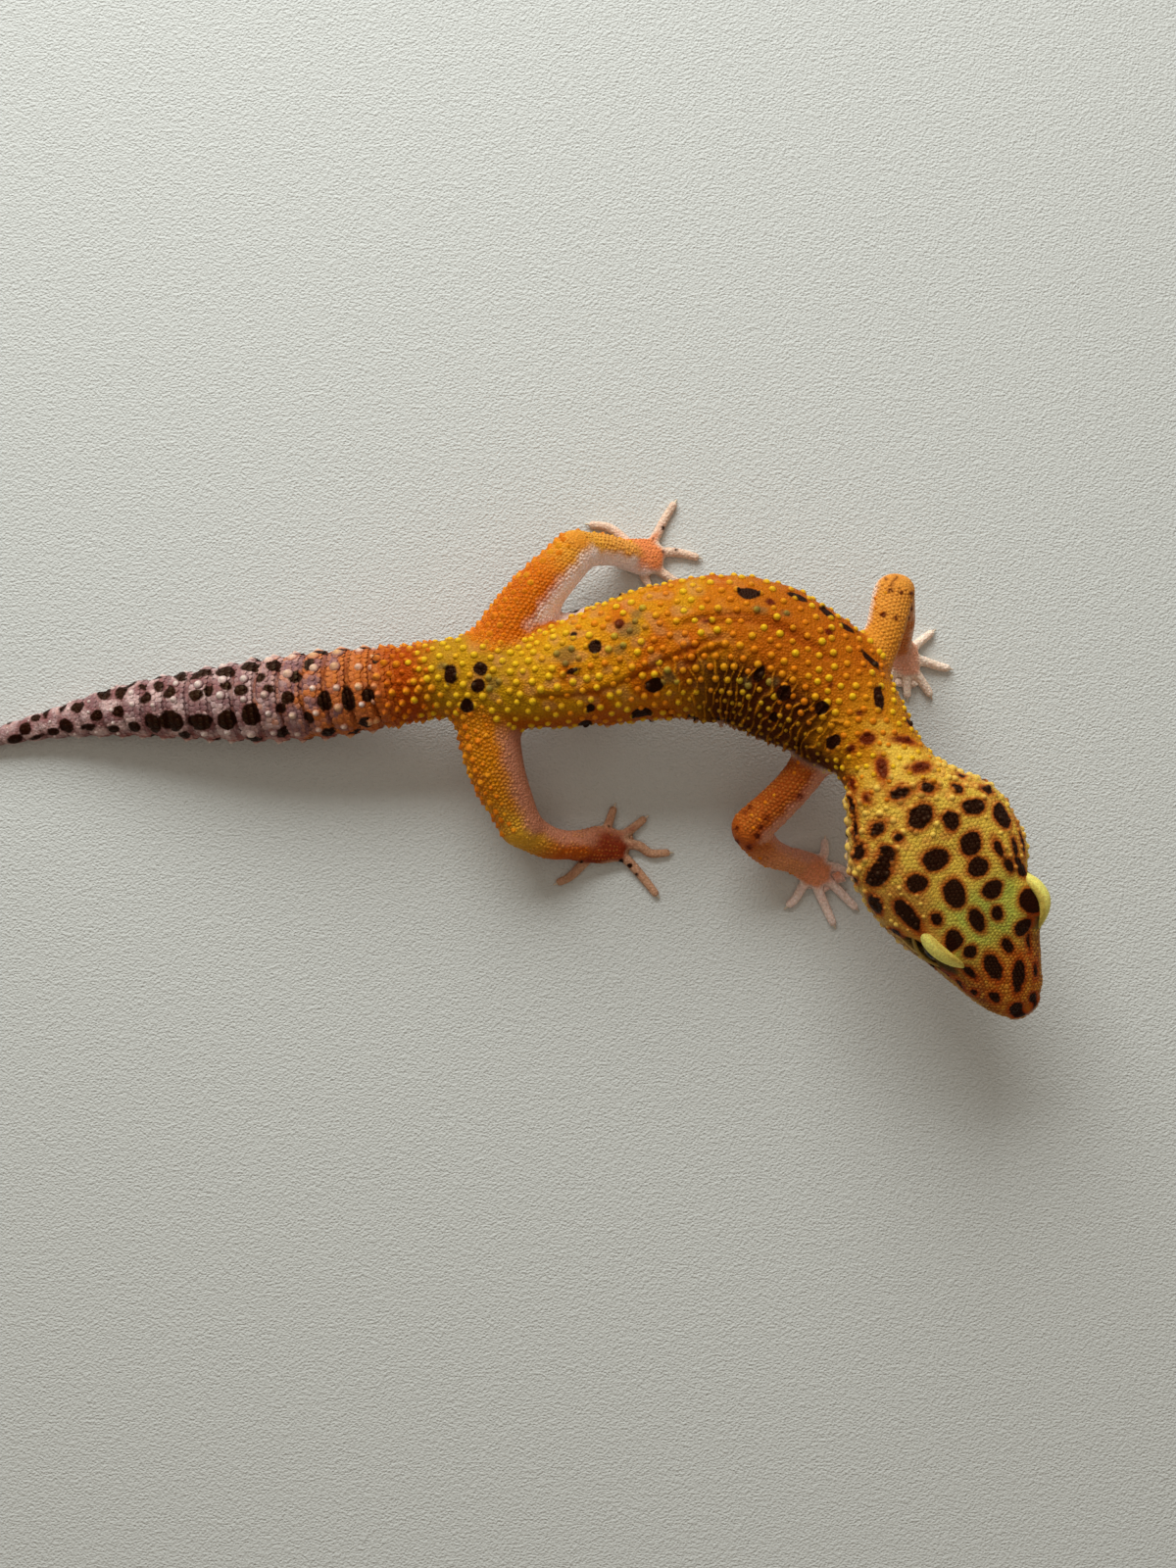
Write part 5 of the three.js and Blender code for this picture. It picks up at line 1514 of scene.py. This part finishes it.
def eyeball(name, side, material):
    """A ball of rings round the line of sight, with the cornea swelling slightly forward."""
    polar, around = np.meshgrid(np.linspace(0, np.pi, EYE_RINGS + 2)[1:-1],
                                np.arange(EYE_SIDES) * 2 * np.pi / EYE_SIDES, indexing="ij")
    across, upward = np.sin(polar) * np.cos(around), np.sin(polar) * np.sin(around)
    gaze = unit(GAZE * [1, side, 1])
    level = unit(np.cross([0, 0, 1.0], gaze))
    upright = np.cross(gaze, level)
    ahead = np.cos(polar) * (1 + CORNEA_SWELL * smoothstep(0.75, 0.0, polar))
    local = ahead[..., None] * gaze + across[..., None] * level + upward[..., None] * upright
    local = np.vstack([local.reshape(-1, 3), [gaze * (1 + CORNEA_SWELL)], [-gaze]])
    points = from_head(*(local * EYE_RADIUS + EYE_PLACE * [1, side, 1]).T)
    count = EYE_RINGS * EYE_SIDES
    faces = ring_quads(EYE_RINGS, EYE_SIDES) + fan(0, EYE_SIDES, count, backwards=True)
    mesh = smooth_solid(name, points, faces + fan(count - EYE_SIDES, EYE_SIDES, count + 1))
    sight = np.column_stack([across.ravel(), upward.ravel(), np.cos(polar).ravel()])
    sight = np.vstack([sight, [0, 0, 1], [0, 0, -1]]) * EYE_RADIUS
    mesh.attributes.new("sight", "FLOAT_VECTOR", "POINT").data.foreach_set("vector", sight.ravel())
    mesh.materials.append(material)
    ball = add_object(name, mesh)
    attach(ball, "root")
    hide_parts("eye_left" if side > 0 else "eye_right")


wet_eye = eye_material()
eyeball("left_eye", 1, wet_eye)
eyeball("right_eye", -1, wet_eye)


# ---------------------------------------------------------------------------------------------
# Claws. Each toe ends in one small, clear, curved claw of horn.
# ---------------------------------------------------------------------------------------------
CLAW_ROOT = 0.27           # radius where the claw leaves the flesh
CLAW_POINT = 0.15          # how far the point reaches past the toe's last place
CLAW_RISE = 0.62           # height of the claw's middle line at its root
CLAW_FALL = 0.06           # and at its point
CLAW_RINGS, CLAW_SIDES = 9, 8


def claw(places):
    """A cone bent down along its length: from inside the toe's end its middle line falls on a
    quarter wave to the floor, and its radius shrinks with a power of what is left."""
    before, tip = np.column_stack([places, np.zeros(len(places))])[-2:]
    heading = unit(tip - before)
    side = np.cross([0, 0, 1.0], heading)
    share = np.linspace(0, 1, CLAW_RINGS)
    reach = -CLAW_SHARE + share * (CLAW_SHARE + CLAW_POINT)
    centre = tip + reach[:, None] * heading
    centre[:, 2] = CLAW_FALL + (CLAW_RISE - CLAW_FALL) * np.cos(share * np.pi / 2)**0.8
    radius = CLAW_ROOT * (1 - share)**0.6 + 0.02
    turn = np.arange(CLAW_SIDES) * 2 * np.pi / CLAW_SIDES
    rings = rings_round(centre, side[None], np.array([[0, 0, 1.0]]), radius[:, None] * 0.8,
                        radius[:, None], turn)
    rings[..., 2] = np.maximum(rings[..., 2], 0.01)
    return rings.reshape(-1, 3)


def claw_material():
    material, build, shader = started_material("claw_horn")
    grain = build.noise(build.add("ShaderNodeTexCoord")["Object"], 1800.0)
    build.wire(shader, {
        "Base Color": build.blend(grain, rgba(206, 180, 150), rgba(232, 214, 190)), "Roughness": 0.3,
        "Subsurface Weight": 0.2, "Subsurface Scale": 0.0004,
    })
    return material


def all_claws():
    names, points, faces = [], [], []
    for name, limb in LIMBS.items():
        for number, places in enumerate(limb["toes"], start=1):
            first = CLAW_RINGS * CLAW_SIDES * len(names)
            faces += [[i + first for i in face] for face in tube_faces(CLAW_RINGS, CLAW_SIDES)]
            points.append(claw(places))
            names.append(f"claw_{name}_{number}")
    mesh = smooth_solid("claws", np.vstack(points), faces)
    mesh.materials.append(claw_material())
    claws = add_object("claws", mesh)
    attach(claws, "root")
    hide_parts(*names)


all_claws()


# ---------------------------------------------------------------------------------------------
# Surroundings: a plain pale table top, a big soft light from above and behind the animal's back,
# and the camera that looks straight down.
# ---------------------------------------------------------------------------------------------
CAMERA_PLACE = (20.3, -5.4, 240.0)
CAMERA_LENS = 37.0
TABLE_HALF = 900.0


def table_top():
    corners = np.array([[-1, -1, 0], [1, -1, 0], [1, 1, 0], [-1, 1, 0]]) * TABLE_HALF + [20, 0, -0.03]
    top = add_object("table_top", mesh_from("table_top", corners, [[0, 1, 2, 3]]))
    material, build, shader = started_material("table_top")
    place = build.add("ShaderNodeTexCoord")["Object"]
    drawn = build.add("ShaderNodeMapping", {"Vector": place, "Scale": (0.85, 1.0, 1.0)})["Vector"]
    grain = build.add("ShaderNodeTexVoronoi", {"Vector": drawn, "Scale": 3100.0}, feature="SMOOTH_F1")
    height = build.math("ADD", grain["Distance"], build.noise(drawn, 3600.0, Detail=2.0))
    bump = build.add("ShaderNodeBump", {"Height": height, "Distance": 0.00020, "Strength": 0.75})
    build.wire(shader, {"Normal": bump["Normal"], "Base Color": rgba(205, 205, 199), "Roughness": 0.6})
    top.data.materials.append(material)


def soft_light(name, place, towards, size, watts, colour):
    data = bpy.data.lights.new(name, "AREA")
    data.shape = "RECTANGLE"
    data.size, data.size_y = size
    data.energy = watts
    data.color = colour
    lamp = add_object(name, data)
    lamp.location = Vector(place) * MM
    lamp.rotation_euler = (Vector(towards) - Vector(place)).to_track_quat("-Z", "Y").to_euler()


def room_light():
    world = bpy.data.worlds.new("room")
    world.use_nodes = True
    background = world.node_tree.nodes["Background"]
    Nodes(world.node_tree).wire(background, {"Color": (1.0, 0.90, 0.78, 1.0), "Strength": 0.22})
    bpy.context.scene.world = world


def camera_above():
    data = bpy.data.cameras.new("camera")
    data.lens = CAMERA_LENS
    data.sensor_width = 36.0
    data.clip_start = 0.01
    camera = add_object("camera", data)
    camera.location = Vector(CAMERA_PLACE) * MM
    bpy.context.scene.camera = camera


table_top()
soft_light("window", (-110, 575, 350), (10, 0, 0), (0.50, 0.42), 6.1, (0.93, 0.985, 1.0))
soft_light("ceiling", (0, 0, 900), (20, 0, 0), (1.0, 1.0), 1.0, (1.0, 0.93, 0.82))
room_light()
camera_above()
bpy.context.scene.view_settings.view_transform = "Standard"
